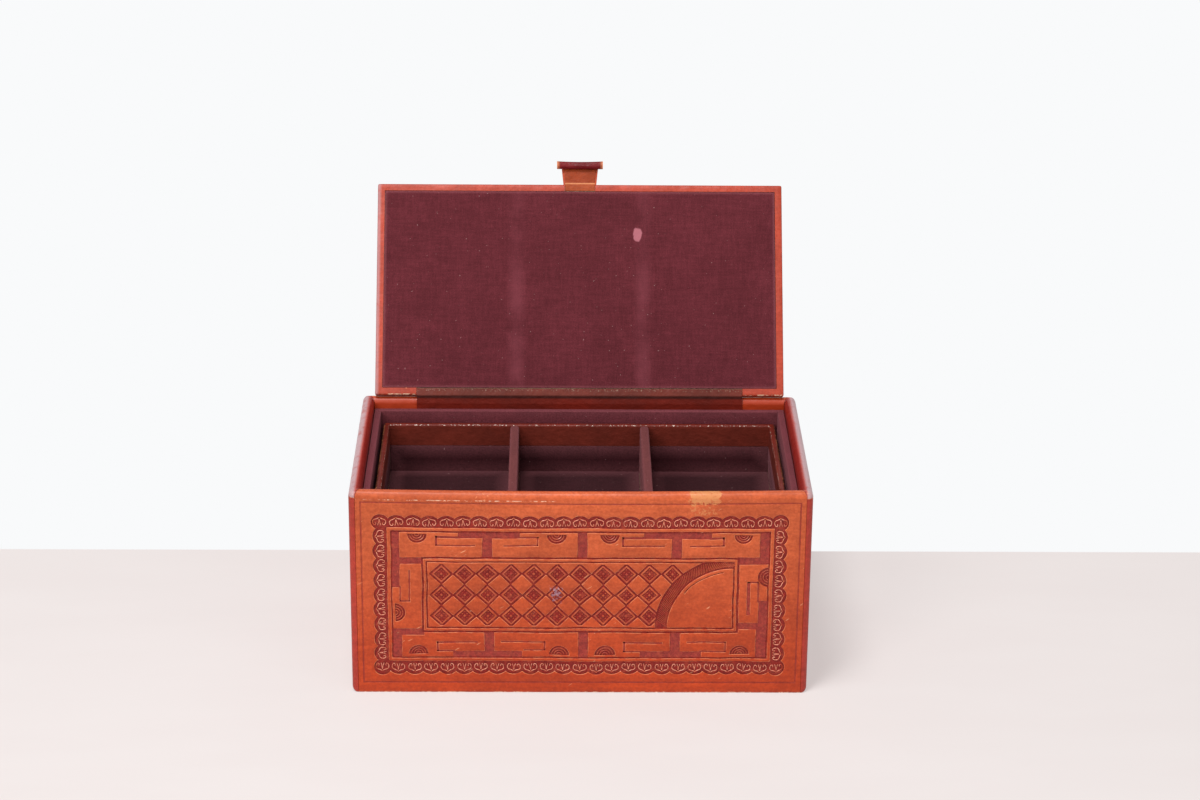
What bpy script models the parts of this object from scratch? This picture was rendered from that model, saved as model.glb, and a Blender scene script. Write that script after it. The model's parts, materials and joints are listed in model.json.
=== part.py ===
"""Tooled leather keepsake box: leather-hinged drop-in lid with a pull tab, and a lift-out tray inside.

The box is board covered with leather. Velvet-covered liner boards stand inside its walls, a little
lower than the rim, and their tops are the ledge on which the lid lies when it is shut. The lid is
modelled shut and turned open about its hinge axis. Units are metres, +Z is up, the front faces -Y,
and the origin is the centre of the underside.
"""

import math

import bmesh
import bpy

# Driving dimensions of the box
BOX_WIDTH = 0.300
BOX_DEPTH = 0.170
BOX_HEIGHT = 0.144
WALL_THICKNESS = 0.0082
COVER_LEATHER = 0.0014
BASE_BOARD_THICKNESS = 0.0040
RIM_ROUNDING = 0.0032
CORNER_ROUNDING = 0.0037
FOOT_ROUNDING = 0.0008
INNER_TURN_IN = 0.0160
UNDER_TURN_IN = 0.0140
CORNER_WRAP = 0.0042

# Running and glue clearances, and how far a cutter runs past what it cuts
CLEARANCE = 0.0003
CUT_OVERRUN = 0.0020
BOARD_EASING = 0.0003

# Velvet-covered liner and floor
LINER_THICKNESS = 0.0054
LINER_ROUNDING = 0.0012
LEDGE_DROP = 0.0065
FLOOR_PAD_THICKNESS = 0.0015

# Lid
LID_THICKNESS = 0.0055
LID_LEATHER = 0.0012
LID_ROUNDING = 0.0011
LID_SIDE_GAP = 0.0004
LID_BACK_GAP = 0.0008
LID_FRONT_GAP = 0.0024
LID_BORDER_SIDE = 0.0049
LID_BORDER_FRONT = 0.0048
LID_BORDER_BACK = 0.0050
LID_VELVET_RECESS = 0.0001
LID_OPEN_ANGLE = math.radians(122.5)
LID_SEAT_SHARE = 0.565

# Leather hinge strip
STRIP_LENGTH = 0.225
STRIP_THICKNESS = 0.0008
STRIP_TAIL = 0.0055

# Pull tab
TAB_THICKNESS = 0.0009
TAB_LINING_THICKNESS = 0.0005
TAB_ROOT_WIDTH = 0.0208
TAB_STRAP_WIDTH = 0.0230
TAB_STRAP_END_WIDTH = 0.0258
TAB_CURL_WIDTH = 0.0322
TAB_EDGE_MARGIN = 0.0016
TAB_RIM_CLEARANCE = 0.0012
TAB_JOINT_GAP = 0.0005
TAB_CURL_RADIUS = 0.0025
TAB_CURL_STANDOFF = 0.0047
TAB_CURL_SWEEP = math.radians(262)
TAB_FLARE_LENGTH = 0.0008

# Lift-out tray
TRAY_GAP = 0.0011
TRAY_RIM_DROP = 0.0149
TRAY_INNER_DEPTH = 0.0344
TRAY_WALL = 0.0040
TRAY_LEATHER = 0.0009
TRAY_BASE_BOARD = 0.0018
TRAY_PAD_THICKNESS = 0.0015
TRAY_TURN_IN = 0.0154
TRAY_UNDER_TURN_IN = 0.0090
TRAY_RIM_ROUNDING = 0.0014
TRAY_CORNER_ROUNDING = 0.0018
TRAY_FOOT_ROUNDING = 0.0005
DIVIDER_THICKNESS = 0.0062
DIVIDER_ROUNDING = 0.0020
COMPARTMENTS = 3
REST_WIDTH = 0.0048
REST_HEIGHT = 0.0060
REST_EASING = 0.0008

# Counts that set the fineness of rounded shapes
ROUND_SEGMENTS = 5
SMALL_SEGMENTS = 3
CURL_STEPS = 16

COLLECTION_NAME = "tooled_leather_box"

# Finishes: name, base colour (linear RGB), roughness
LEATHER_TOOLED = ("tooled_leather", (0.456, 0.107, 0.040), 0.42)
LEATHER_EDGE = ("edge_leather", (0.395, 0.070, 0.042), 0.40)
LEATHER_BROWN = ("brown_leather", (0.095, 0.022, 0.014), 0.45)
LEATHER_HINGE = ("hinge_leather", (0.145, 0.040, 0.022), 0.50)
LEATHER_BASE = ("base_leather", (0.150, 0.050, 0.026), 0.70)
VELVET = ("velvet", (0.150, 0.032, 0.046), 0.95)
BOARD = ("board", (0.330, 0.250, 0.170), 0.80)

# Levels and faces that follow from the sizes above
HALF_WIDTH = BOX_WIDTH / 2
HALF_DEPTH = BOX_DEPTH / 2
WALL_INNER_X = HALF_WIDTH - WALL_THICKNESS
WALL_INNER_Y = HALF_DEPTH - WALL_THICKNESS
LINER_INNER_X = WALL_INNER_X - CLEARANCE - LINER_THICKNESS
LINER_INNER_Y = WALL_INNER_Y - CLEARANCE - LINER_THICKNESS
BASE_BOARD_TOP = COVER_LEATHER + CLEARANCE + BASE_BOARD_THICKNESS
LEDGE_TOP = BOX_HEIGHT - LEDGE_DROP
FLOOR_TOP = BASE_BOARD_TOP + CLEARANCE + FLOOR_PAD_THICKNESS

LID_UNDERSIDE = LEDGE_TOP + CLEARANCE
LID_TOP = LID_UNDERSIDE + LID_THICKNESS
LID_HALF_WIDTH = WALL_INNER_X - LID_SIDE_GAP
LID_FRONT = LID_FRONT_GAP - WALL_INNER_Y
LID_BACK = WALL_INNER_Y - LID_BACK_GAP

TRAY_WIDTH = 2 * (LINER_INNER_X - TRAY_GAP)
TRAY_DEPTH = 2 * (LINER_INNER_Y - TRAY_GAP)
TRAY_TOP = BOX_HEIGHT - TRAY_RIM_DROP
TRAY_PAD_TOP = TRAY_TOP - TRAY_INNER_DEPTH
TRAY_BOARD_TOP = TRAY_PAD_TOP - TRAY_PAD_THICKNESS - CLEARANCE
TRAY_BOTTOM = TRAY_BOARD_TOP - TRAY_BASE_BOARD - CLEARANCE - TRAY_LEATHER


def clear_scene():
    """Remove every object, so that the script gives the same file each run."""
    for item in list(bpy.data.objects):
        bpy.data.objects.remove(item, do_unlink=True)


def new_collection(name):
    """A collection of this name, linked to the scene."""
    group = bpy.data.collections.new(name)
    bpy.context.scene.collection.children.link(group)
    return group


def new_material(name, colour, roughness):
    """A non-metallic Principled BSDF with one colour, for one piece."""
    finish = bpy.data.materials.new(name)
    finish.use_nodes = True
    shader = finish.node_tree.nodes["Principled BSDF"]
    shader.inputs["Base Color"].default_value = (*colour, 1.0)
    shader.inputs["Roughness"].default_value = roughness
    shader.inputs["Metallic"].default_value = 0.0
    finish.diffuse_color = (*colour, 1.0)
    return finish


def new_object(name, bm, finish):
    """An object in the parts collection, made from the bmesh, with its own material."""
    mesh = bpy.data.meshes.new(name)
    bm.to_mesh(mesh)
    bm.free()
    item = bpy.data.objects.new(name, mesh)
    mesh.materials.append(new_material(f"{name}_{finish[0]}", finish[1], finish[2]))
    PARTS.objects.link(item)
    return item


def new_cutter(name, bm):
    """A hidden, wire-drawn object that other objects are cut by."""
    mesh = bpy.data.meshes.new(name)
    bm.to_mesh(mesh)
    bm.free()
    item = bpy.data.objects.new(name, mesh)
    item.hide_render = True
    item.display_type = "WIRE"
    CUTTERS.objects.link(item)
    return item


def box_mesh(low, high):
    """A bmesh box between two opposite corners."""
    bm = bmesh.new()
    bmesh.ops.create_cube(bm, size=1.0)
    size = [high[axis] - low[axis] for axis in range(3)]
    middle = [(high[axis] + low[axis]) / 2 for axis in range(3)]
    bmesh.ops.scale(bm, vec=size, verts=bm.verts)
    bmesh.ops.translate(bm, vec=middle, verts=bm.verts)
    return bm


def round_edges(bm, edges, radius, segments):
    """Round the given edges."""
    bmesh.ops.bevel(bm, geom=edges, offset=radius, offset_type="OFFSET", segments=segments,
                    profile=0.5, affect="EDGES", clamp_overlap=True, material=-1)


def edges_where(bm, test):
    """The edges whose two end points both pass the test."""
    return [edge for edge in bm.edges if all(test(vert.co) for vert in edge.verts)]


def level_edges(bm, height):
    """The edges that lie at this height."""
    return edges_where(bm, lambda point: math.isclose(point.z, height, abs_tol=CLEARANCE / 10))


def shade_smooth(item, angle=math.radians(35)):
    """Smooth shading, with edges sharper than the angle kept."""
    item.data.shade_smooth()
    item.data.set_sharp_from_angle(angle=angle)


def add_boolean(item, operation, cutter):
    """Cut or limit the object with a cutter, by the exact solver."""
    modifier = item.modifiers.new(cutter.name, "BOOLEAN")
    modifier.operation = operation
    modifier.object = cutter
    modifier.solver = "EXACT"


def plain_box(name, low, high, finish, easing=BOARD_EASING, segments=1):
    """A rectangular piece whose edges are eased by a Bevel modifier."""
    item = new_object(name, box_mesh(low, high), finish)
    modifier = item.modifiers.new("eased_edges", "BEVEL")
    modifier.width = easing
    modifier.segments = segments
    shade_smooth(item)
    return item


def flared_pocket(width, depth, rim, high, pocket, rounding):
    """A cutter for a pocket whose mouth is rounded outwards to meet a rounded rim."""
    low_x = width / 2 - rim
    low_y = depth / 2 - rim
    bm = box_mesh((-low_x, -low_y, high - pocket), (low_x, low_y, high - rounding))
    top = max(bm.faces, key=lambda face: face.calc_center_median().z)
    for step in range(1, ROUND_SEGMENTS + 1):
        turn = math.pi / 2 * step / ROUND_SEGMENTS
        spread = rounding * (1 - math.cos(turn))
        height = high - rounding + rounding * math.sin(turn)
        top = extrude_face(bm, top)
        set_rectangle(top, low_x + spread, low_y + spread, height)
    top = extrude_face(bm, top)
    set_rectangle(top, low_x + rounding, low_y + rounding, high + CUT_OVERRUN)
    return bm


def extrude_face(bm, face):
    """Extrude one face of a closed mesh and return the new cap."""
    made = bmesh.ops.extrude_discrete_faces(bm, faces=[face])
    return made["faces"][0]


def set_rectangle(face, half_x, half_y, height):
    """Move the four corners of a level face to a rectangle of this size and height."""
    for vert in face.verts:
        vert.co.x = math.copysign(half_x, vert.co.x)
        vert.co.y = math.copysign(half_y, vert.co.y)
        vert.co.z = height


def prism_mesh(outline, low, high):
    """An upright prism on a closed plan outline."""
    bm = bmesh.new()
    face = bm.faces.new([bm.verts.new((x, y, low)) for x, y in outline])
    made = bmesh.ops.extrude_face_region(bm, geom=[face])
    tops = [piece for piece in made["geom"] if isinstance(piece, bmesh.types.BMVert)]
    bmesh.ops.translate(bm, vec=(0, 0, high - low), verts=tops)
    bmesh.ops.recalc_face_normals(bm, faces=bm.faces)
    return bm


class CoveredBox:
    """The sizes shared by the boards and the leather of a covered box or tray."""

    def __init__(self, prefix, width, depth, low, high, wall, leather, base_board,
                 turn_in, under, roundings):
        self.prefix = prefix
        self.width = width
        self.depth = depth
        self.low = low
        self.high = high
        self.wall = wall
        self.leather = leather
        self.base_board = base_board
        self.turn_in = turn_in
        self.under = under
        self.roundings = roundings

    def board_faces(self):
        """Outer half width and half depth of the boards, their thickness, and their low and top levels."""
        inset = self.leather + CLEARANCE
        thickness = self.wall - 2 * inset
        base_top = self.low + inset + self.base_board
        return self.width / 2 - inset, self.depth / 2 - inset, thickness, base_top, self.high - inset

    def make_boards(self, parent):
        """A base board, with front and back boards on it and side boards between them."""
        half_x, half_y, thickness, base_top, top = self.board_faces()
        rounding = max(self.roundings[0] - self.leather - CLEARANCE, BOARD_EASING)
        rounding = min(rounding, thickness / 3)
        foot = base_top + CLEARANCE
        side_y = half_y - thickness - CLEARANCE
        pieces = [plain_box(f"{self.prefix}base_board", (-half_x, -half_y, base_top - self.base_board),
                            (half_x, half_y, base_top), BOARD)]
        walls = {
            "front_board": ((-half_x, -half_y, foot), (half_x, thickness - half_y, top)),
            "back_board": ((-half_x, half_y - thickness, foot), (half_x, half_y, top)),
            "left_board": ((-half_x, -side_y, foot), (thickness - half_x, side_y, top)),
            "right_board": ((half_x - thickness, -side_y, foot), (half_x, side_y, top)),
        }
        for name, (low, high) in walls.items():
            bm = box_mesh(low, high)
            ridges = level_edges(bm, top)
            if name in ("left_board", "right_board"):
                ridges = [edge for edge in ridges
                          if abs(edge.verts[0].co.y - edge.verts[1].co.y) > side_y]
            round_edges(bm, ridges, rounding, SMALL_SEGMENTS)
            item = new_object(self.prefix + name, bm, BOARD)
            shade_smooth(item)
            pieces.append(item)
        attach(pieces, parent)

    def outer_mesh(self):
        """The leather's outer block, rounded at its rim, corners and foot."""
        bm = box_mesh((-self.width / 2, -self.depth / 2, self.low),
                      (self.width / 2, self.depth / 2, self.high))
        rim_rounding, corner_rounding, foot_rounding = self.roundings
        uprights = [edge for edge in bm.edges
                    if abs(edge.verts[0].co.z - edge.verts[1].co.z) > (self.high - self.low) / 2]
        round_edges(bm, uprights, corner_rounding, ROUND_SEGMENTS)
        round_edges(bm, level_edges(bm, self.high), rim_rounding, ROUND_SEGMENTS)
        round_edges(bm, level_edges(bm, self.low), foot_rounding, 2)
        return bm

    def make_cutters(self):
        """Cutters for the mouth, for the space that the boards fill, and for the opening underneath."""
        rim_rounding = self.roundings[0]
        mouth = new_cutter(f"{self.prefix}mouth", flared_pocket(
            self.width, self.depth, self.wall, self.high, self.turn_in + self.leather, rim_rounding))
        inner = [size - 2 * self.leather for size in (self.width, self.depth)]
        floor = self.low + self.leather
        top = self.high - self.leather
        space = box_mesh((-inner[0] / 2, -inner[1] / 2, floor), (inner[0] / 2, inner[1] / 2, top))
        inner_rounding = rim_rounding - self.leather
        round_edges(space, level_edges(space, top), inner_rounding, ROUND_SEGMENTS)
        space = new_cutter(f"{self.prefix}board_space", space)
        core = new_cutter(f"{self.prefix}board_space_core", flared_pocket(
            inner[0], inner[1], self.wall - 2 * self.leather, top, self.turn_in - self.leather,
            inner_rounding))
        add_boolean(space, "DIFFERENCE", core)
        half_x = self.width / 2 - self.under
        half_y = self.depth / 2 - self.under
        below = new_cutter(f"{self.prefix}underside_opening", box_mesh(
            (-half_x, -half_y, self.low - CUT_OVERRUN), (half_x, half_y, floor + CUT_OVERRUN)))
        return [mouth, space, below]

    def make_leather(self, name, finish, cutters, region=None):
        """The leather wrapped over the boards, whole or within one region."""
        item = new_object(name, self.outer_mesh(), finish)
        for cutter in cutters:
            add_boolean(item, "DIFFERENCE", cutter)
        if region is not None:
            add_boolean(item, "INTERSECT", region)
        return item


def attach(pieces, parent):
    """Hang pieces that are modelled in the object's own frame from an empty, without moving them."""
    for item in pieces:
        item.parent = parent
        if parent is not None:
            item.location = -pivot_place(parent)


def pivot_place(pivot):
    """The pivot's place with every hinge in its modelled, shut position."""
    place = pivot.location.copy()
    while pivot.parent is not None:
        pivot = pivot.parent
        place += pivot.location
    return place


def new_pivot(name, place, parent=None):
    """An empty on a joint's axis."""
    pivot = bpy.data.objects.new(name, None)
    pivot.empty_display_size = WALL_THICKNESS
    PARTS.objects.link(pivot)
    pivot.parent = parent
    pivot.location = place
    if parent is not None:
        pivot.location = pivot.location - pivot_place(parent)
    return pivot


def seam_regions(shell):
    """Plan outlines of the four leather panels, which meet along a seam at each corner.

    A seam starts on the front or back face, one wrap in from the corner, and runs to the wall's
    inner corner, so the side leather is wrapped round the corner.
    """
    slope = (shell.wall - CORNER_WRAP) / shell.wall
    half_x = shell.width / 2
    half_y = shell.depth / 2
    reach = shell.under + CUT_OVERRUN
    outer_y = half_y + CUT_OVERRUN
    inner_y = half_y - reach
    start_x = half_x - CORNER_WRAP + CUT_OVERRUN * slope
    end_x = half_x - CORNER_WRAP - reach * slope
    half_gap = CLEARANCE / 2
    front = [(-start_x + half_gap, -outer_y), (start_x - half_gap, -outer_y),
             (end_x - half_gap, -inner_y), (-end_x + half_gap, -inner_y)]
    back = [(x, -y) for x, y in reversed(front)]
    edge_x = half_x + CUT_OVERRUN
    fold_x = half_x - reach
    right = [(start_x + half_gap, -outer_y), (edge_x, -outer_y), (edge_x, outer_y),
             (start_x + half_gap, outer_y), (end_x + half_gap, inner_y), (fold_x, inner_y),
             (fold_x, -inner_y), (end_x + half_gap, -inner_y)]
    left = [(-x, y) for x, y in reversed(right)]
    return {"front_leather": front, "back_leather": back, "left_leather": left, "right_leather": right}


def ribbon(name, rows, thickness, finish):
    """A bent leather strip: rows of (half width, y, z) along its middle surface, then Solidify."""
    bm = bmesh.new()
    bmesh.ops.create_grid(bm, x_segments=1, y_segments=len(rows) - 1, size=1.0)
    bm.verts.ensure_lookup_table()
    ordered = sorted(bm.verts, key=lambda vert: (round(vert.co.y, 6), vert.co.x))
    for index, (half_width, y, z) in enumerate(rows):
        ordered[2 * index].co = (-half_width, y, z)
        ordered[2 * index + 1].co = (half_width, y, z)
    item = new_object(name, bm, finish)
    modifier = item.modifiers.new("thickness", "SOLIDIFY")
    modifier.thickness = thickness
    modifier.offset = 0.0
    modifier.use_even_offset = True
    shade_smooth(item, math.radians(50))
    return item


def turn_about(point, centre, angle):
    """A (y, z) point turned about a centre, by the right-hand rule round +X."""
    y = point[0] - centre[0]
    z = point[1] - centre[1]
    return (centre[0] + y * math.cos(angle) - z * math.sin(angle),
            centre[1] + y * math.sin(angle) + z * math.cos(angle))


def lid_hinge_axis():
    """The (y, z) centre about which the lid's shut outer back corner turns onto the rim.

    The corner moves from just inside the back wall to its seat on the rim, and the centre of a
    turn by the opening angle between two points lies on their perpendicular bisector.
    """
    shut = (LID_BACK, LID_TOP)
    seat = (WALL_INNER_Y + LID_SEAT_SHARE * WALL_THICKNESS, BOX_HEIGHT)
    across = (seat[0] - shut[0], seat[1] - shut[1])
    offset = -1 / (2 * math.tan(LID_OPEN_ANGLE / 2))
    return ((shut[0] + seat[0]) / 2 - offset * across[1],
            (shut[1] + seat[1]) / 2 + offset * across[0])


def make_box():
    """The covered box: boards, leather panels, base leather, liner, floor pad and tray rests."""
    shell = CoveredBox("", BOX_WIDTH, BOX_DEPTH, 0.0, BOX_HEIGHT, WALL_THICKNESS, COVER_LEATHER,
                       BASE_BOARD_THICKNESS, INNER_TURN_IN, UNDER_TURN_IN,
                       (RIM_ROUNDING, CORNER_ROUNDING, FOOT_ROUNDING))
    shell.make_boards(None)
    cutters = shell.make_cutters()
    for name, outline in seam_regions(shell).items():
        region = new_cutter(f"{name}_region", prism_mesh(outline, -CUT_OVERRUN, BOX_HEIGHT + CUT_OVERRUN))
        finish = LEATHER_TOOLED if name in ("front_leather", "back_leather") else LEATHER_EDGE
        shade_smooth(shell.make_leather(name, finish, cutters, region))
    inset_x = HALF_WIDTH - UNDER_TURN_IN - CLEARANCE
    inset_y = HALF_DEPTH - UNDER_TURN_IN - CLEARANCE
    plain_box("base_leather", (-inset_x, -inset_y, 0.0), (inset_x, inset_y, COVER_LEATHER), LEATHER_BASE)
    make_liner()
    make_tray_rests()


def make_liner():
    """Velvet-covered boards inside the walls, whose tops are the ledge, and the floor pad."""
    foot = BASE_BOARD_TOP + CLEARANCE
    outer_x = WALL_INNER_X - CLEARANCE
    outer_y = WALL_INNER_Y - CLEARANCE
    back_y = WALL_INNER_Y - 2 * CLEARANCE - STRIP_THICKNESS
    side_y = LINER_INNER_Y - CLEARANCE
    pieces = {
        "liner_front": ((-outer_x, -outer_y, foot), (outer_x, -LINER_INNER_Y, LEDGE_TOP)),
        "liner_back": ((-outer_x, LINER_INNER_Y, foot), (outer_x, back_y, LEDGE_TOP)),
        "liner_left": ((-outer_x, -side_y, foot), (-LINER_INNER_X, side_y, LEDGE_TOP)),
        "liner_right": ((LINER_INNER_X, -side_y, foot), (outer_x, side_y, LEDGE_TOP)),
    }
    for name, (low, high) in pieces.items():
        plain_box(name, low, high, VELVET, LINER_ROUNDING, SMALL_SEGMENTS)
    pad_x = LINER_INNER_X - CLEARANCE
    pad_y = LINER_INNER_Y - CLEARANCE
    plain_box("floor_pad", (-pad_x, -pad_y, foot), (pad_x, pad_y, FLOOR_TOP), VELVET)


def make_tray_rests():
    """A velvet-covered strip on each side liner, under the tray's edge."""
    top = TRAY_BOTTOM - CLEARANCE
    half_y = LINER_INNER_Y - TRAY_GAP
    outer = LINER_INNER_X - CLEARANCE
    inner = outer - REST_WIDTH
    plain_box("tray_rest_left", (-outer, -half_y, top - REST_HEIGHT), (-inner, half_y, top),
              VELVET, REST_EASING, SMALL_SEGMENTS)
    plain_box("tray_rest_right", (inner, -half_y, top - REST_HEIGHT), (outer, half_y, top),
              VELVET, REST_EASING, SMALL_SEGMENTS)


def make_lid(pivot):
    """The lid, shut: a board in leather that is turned in underneath, with velvet inside the border."""
    low = (-LID_HALF_WIDTH, LID_FRONT, LID_UNDERSIDE)
    high = (LID_HALF_WIDTH, LID_BACK, LID_TOP)
    bm = box_mesh(low, high)
    round_edges(bm, list(bm.edges), LID_ROUNDING, SMALL_SEGMENTS)
    leather = new_object("lid_leather", bm, LEATHER_TOOLED)
    board_low = [value + LID_LEATHER for value in low]
    board_high = [value - LID_LEATHER for value in high]
    opening_low = (low[0] + LID_BORDER_SIDE, low[1] + LID_BORDER_FRONT, low[2] - CUT_OVERRUN)
    opening_high = (high[0] - LID_BORDER_SIDE, high[1] - LID_BORDER_BACK, low[2] + LID_LEATHER + CLEARANCE)
    strip_x = STRIP_LENGTH / 2 + CLEARANCE
    root_x = TAB_ROOT_WIDTH / 2 + CLEARANCE
    spaces = {
        "lid_board_space": (board_low, board_high),
        "lid_velvet_opening": (opening_low, opening_high),
        "lid_strip_recess": ((-strip_x, opening_high[1] - CUT_OVERRUN, opening_low[2]),
                             (strip_x, high[1] + CUT_OVERRUN, low[2] + LID_LEATHER)),
        "lid_tab_recess": ((-root_x, low[1] - CUT_OVERRUN, opening_low[2]),
                           (root_x, opening_low[1] + CUT_OVERRUN, low[2] + LID_LEATHER)),
    }
    for name, (space_low, space_high) in spaces.items():
        cutter = new_cutter(name, box_mesh(space_low, space_high))
        attach([cutter], pivot)
        add_boolean(leather, "DIFFERENCE", cutter)
    shade_smooth(leather)
    board = plain_box("lid_board", [value + CLEARANCE for value in board_low],
                      [value - CLEARANCE for value in board_high], BOARD)
    velvet = plain_box(
        "lid_velvet",
        (opening_low[0] + CLEARANCE, opening_low[1] + CLEARANCE, low[2] + LID_VELVET_RECESS),
        (opening_high[0] - CLEARANCE, opening_high[1] - CLEARANCE, low[2] + LID_LEATHER), VELVET)
    attach([leather, board, velvet], pivot)


def make_hinge_strip(axis):
    """The leather hinge, in its open shape: from under the lid's border down behind the back liner."""
    depth = LID_UNDERSIDE + LID_LEATHER / 2
    lid_end = turn_about((LID_BACK - LID_BORDER_BACK + CLEARANCE, depth), axis, -LID_OPEN_ANGLE)
    lid_edge = turn_about((LID_BACK, depth), axis, -LID_OPEN_ANGLE)
    wall_y = WALL_INNER_Y - CLEARANCE - STRIP_THICKNESS / 2
    wall_top = (wall_y, BOX_HEIGHT - RIM_ROUNDING)
    wall_end = (wall_y, LEDGE_TOP - STRIP_TAIL)
    middle = tuple((lid_edge[axis_index] + wall_top[axis_index]) / 2 for axis_index in range(2))
    rows = [(STRIP_LENGTH / 2, y, z) for y, z in (lid_end, lid_edge, middle, wall_top, wall_end)]
    ribbon("hinge_strip", rows, STRIP_THICKNESS, LEATHER_HINGE)


def tab_axis():
    """The (y, z) of the crease where the tab's strap leaves the lid's front edge, lid shut."""
    return (LID_FRONT - CLEARANCE - TAB_THICKNESS / 2,
            BOX_HEIGHT + TAB_RIM_CLEARANCE + TAB_THICKNESS / 2)


def make_tab(lid_pivot, pivot):
    """The pull tab: a root under the lid's edge, a strap over the rim, and a curled end."""
    crease_y, crease_z = tab_axis()
    root_z = LID_UNDERSIDE + LID_LEATHER / 2
    root_half = TAB_ROOT_WIDTH / 2
    root_rows = [(root_half, LID_FRONT + LID_BORDER_FRONT - CLEARANCE, root_z),
                 (root_half, crease_y, root_z),
                 (root_half, crease_y, crease_z - TAB_JOINT_GAP)]
    attach([ribbon("tab_root", root_rows, TAB_THICKNESS, LEATHER_HINGE)], lid_pivot)

    curl_y = -HALF_DEPTH - TAB_CURL_STANDOFF
    curl_z = crease_z - TAB_CURL_RADIUS
    strap_y = crease_y - TAB_JOINT_GAP
    rows = [(TAB_STRAP_WIDTH / 2, strap_y, crease_z),
            (TAB_STRAP_END_WIDTH / 2, curl_y + TAB_FLARE_LENGTH, crease_z)]
    for step in range(CURL_STEPS + 1):
        turn = math.pi / 2 + TAB_CURL_SWEEP * step / CURL_STEPS
        rows.append((TAB_CURL_WIDTH / 2, curl_y + TAB_CURL_RADIUS * math.cos(turn),
                     curl_z + TAB_CURL_RADIUS * math.sin(turn)))
    leather = ribbon("tab_leather", rows, TAB_THICKNESS, LEATHER_TOOLED)
    lining_z = crease_z - TAB_THICKNESS / 2 - CLEARANCE / 2 - TAB_LINING_THICKNESS / 2
    lining_rows = [(TAB_STRAP_WIDTH / 2 - TAB_EDGE_MARGIN, strap_y, lining_z),
                   (TAB_STRAP_END_WIDTH / 2 - TAB_EDGE_MARGIN, curl_y + TAB_FLARE_LENGTH, lining_z)]
    lining = ribbon("tab_lining", lining_rows, TAB_LINING_THICKNESS, LEATHER_HINGE)
    attach([leather, lining], pivot)


def make_tray(pivot):
    """The lift-out tray: covered boards, velvet lining below the leather, dividers and floor pads."""
    shell = CoveredBox("tray_", TRAY_WIDTH, TRAY_DEPTH, TRAY_BOTTOM, TRAY_TOP, TRAY_WALL, TRAY_LEATHER,
                       TRAY_BASE_BOARD, TRAY_TURN_IN, TRAY_UNDER_TURN_IN,
                       (TRAY_RIM_ROUNDING, TRAY_CORNER_ROUNDING, TRAY_FOOT_ROUNDING))
    shell.make_boards(pivot)
    leather = shell.make_leather("tray_leather", LEATHER_BROWN, shell.make_cutters())
    shade_smooth(leather)
    under_x = TRAY_WIDTH / 2 - TRAY_UNDER_TURN_IN - CLEARANCE
    under_y = TRAY_DEPTH / 2 - TRAY_UNDER_TURN_IN - CLEARANCE
    under = plain_box("tray_underside", (-under_x, -under_y, TRAY_BOTTOM),
                      (under_x, under_y, TRAY_BOTTOM + TRAY_LEATHER), LEATHER_BASE)
    attach([leather, under], pivot)

    inner_x = TRAY_WIDTH / 2 - TRAY_WALL
    inner_y = TRAY_DEPTH / 2 - TRAY_WALL
    foot = TRAY_BOARD_TOP + CLEARANCE
    lining_top = TRAY_TOP - TRAY_TURN_IN - CLEARANCE
    linings = {
        "tray_lining_front": ((-inner_x, -inner_y - TRAY_LEATHER, foot), (inner_x, -inner_y, lining_top)),
        "tray_lining_back": ((-inner_x, inner_y, foot), (inner_x, inner_y + TRAY_LEATHER, lining_top)),
        "tray_lining_left": ((-inner_x - TRAY_LEATHER, CLEARANCE - inner_y, foot),
                             (-inner_x, inner_y - CLEARANCE, lining_top)),
        "tray_lining_right": ((inner_x, CLEARANCE - inner_y, foot),
                              (inner_x + TRAY_LEATHER, inner_y - CLEARANCE, lining_top)),
    }
    pieces = [plain_box(name, low, high, VELVET) for name, (low, high) in linings.items()]

    clear_width = (2 * inner_x - (COMPARTMENTS - 1) * DIVIDER_THICKNESS) / COMPARTMENTS
    pitch = clear_width + DIVIDER_THICKNESS
    for index in range(COMPARTMENTS - 1):
        middle = -inner_x + clear_width + DIVIDER_THICKNESS / 2 + index * pitch
        bm = box_mesh((middle - DIVIDER_THICKNESS / 2, CLEARANCE - inner_y, foot),
                      (middle + DIVIDER_THICKNESS / 2, inner_y - CLEARANCE, TRAY_TOP))
        ridges = [edge for edge in level_edges(bm, TRAY_TOP)
                  if abs(edge.verts[0].co.y - edge.verts[1].co.y) > inner_y]
        round_edges(bm, ridges, DIVIDER_ROUNDING, ROUND_SEGMENTS)
        divider = new_object(f"tray_divider_{index + 1}", bm, VELVET)
        shade_smooth(divider)
        pieces.append(divider)
    for index in range(COMPARTMENTS):
        left = -inner_x + index * pitch
        right = left + clear_width
        pieces.append(plain_box(f"tray_pad_{index + 1}", (left + CLEARANCE, CLEARANCE - inner_y, foot),
                                (right - CLEARANCE, inner_y - CLEARANCE, TRAY_PAD_TOP), VELVET))
    attach(pieces, pivot)


clear_scene()
PARTS = new_collection(COLLECTION_NAME)
CUTTERS = new_collection("cutters")

hinge = lid_hinge_axis()
crease = tab_axis()
lid_pivot = new_pivot("lid_pivot", (0.0, *hinge))
tab_pivot = new_pivot("tab_pivot", (0.0, *crease), lid_pivot)
tray_pivot = new_pivot("tray_lift", (0.0, 0.0, TRAY_BOTTOM))
make_box()
make_lid(lid_pivot)
make_tab(lid_pivot, tab_pivot)
make_hinge_strip(hinge)
make_tray(tray_pivot)
lid_pivot.rotation_euler.x = -LID_OPEN_ANGLE
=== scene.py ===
"""Looks for the tooled leather keepsake box: wrapped and tooled leather, velvet lining, lift-out tray.

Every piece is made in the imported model's frame: metres, +Z up, the front facing -Y, and the origin at
the centre of the underside. The tooled patterns are laid out in millimetres on the face they are cut
in, with u to the right, v upwards and w out of the leather.
"""

import json
import math

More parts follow.
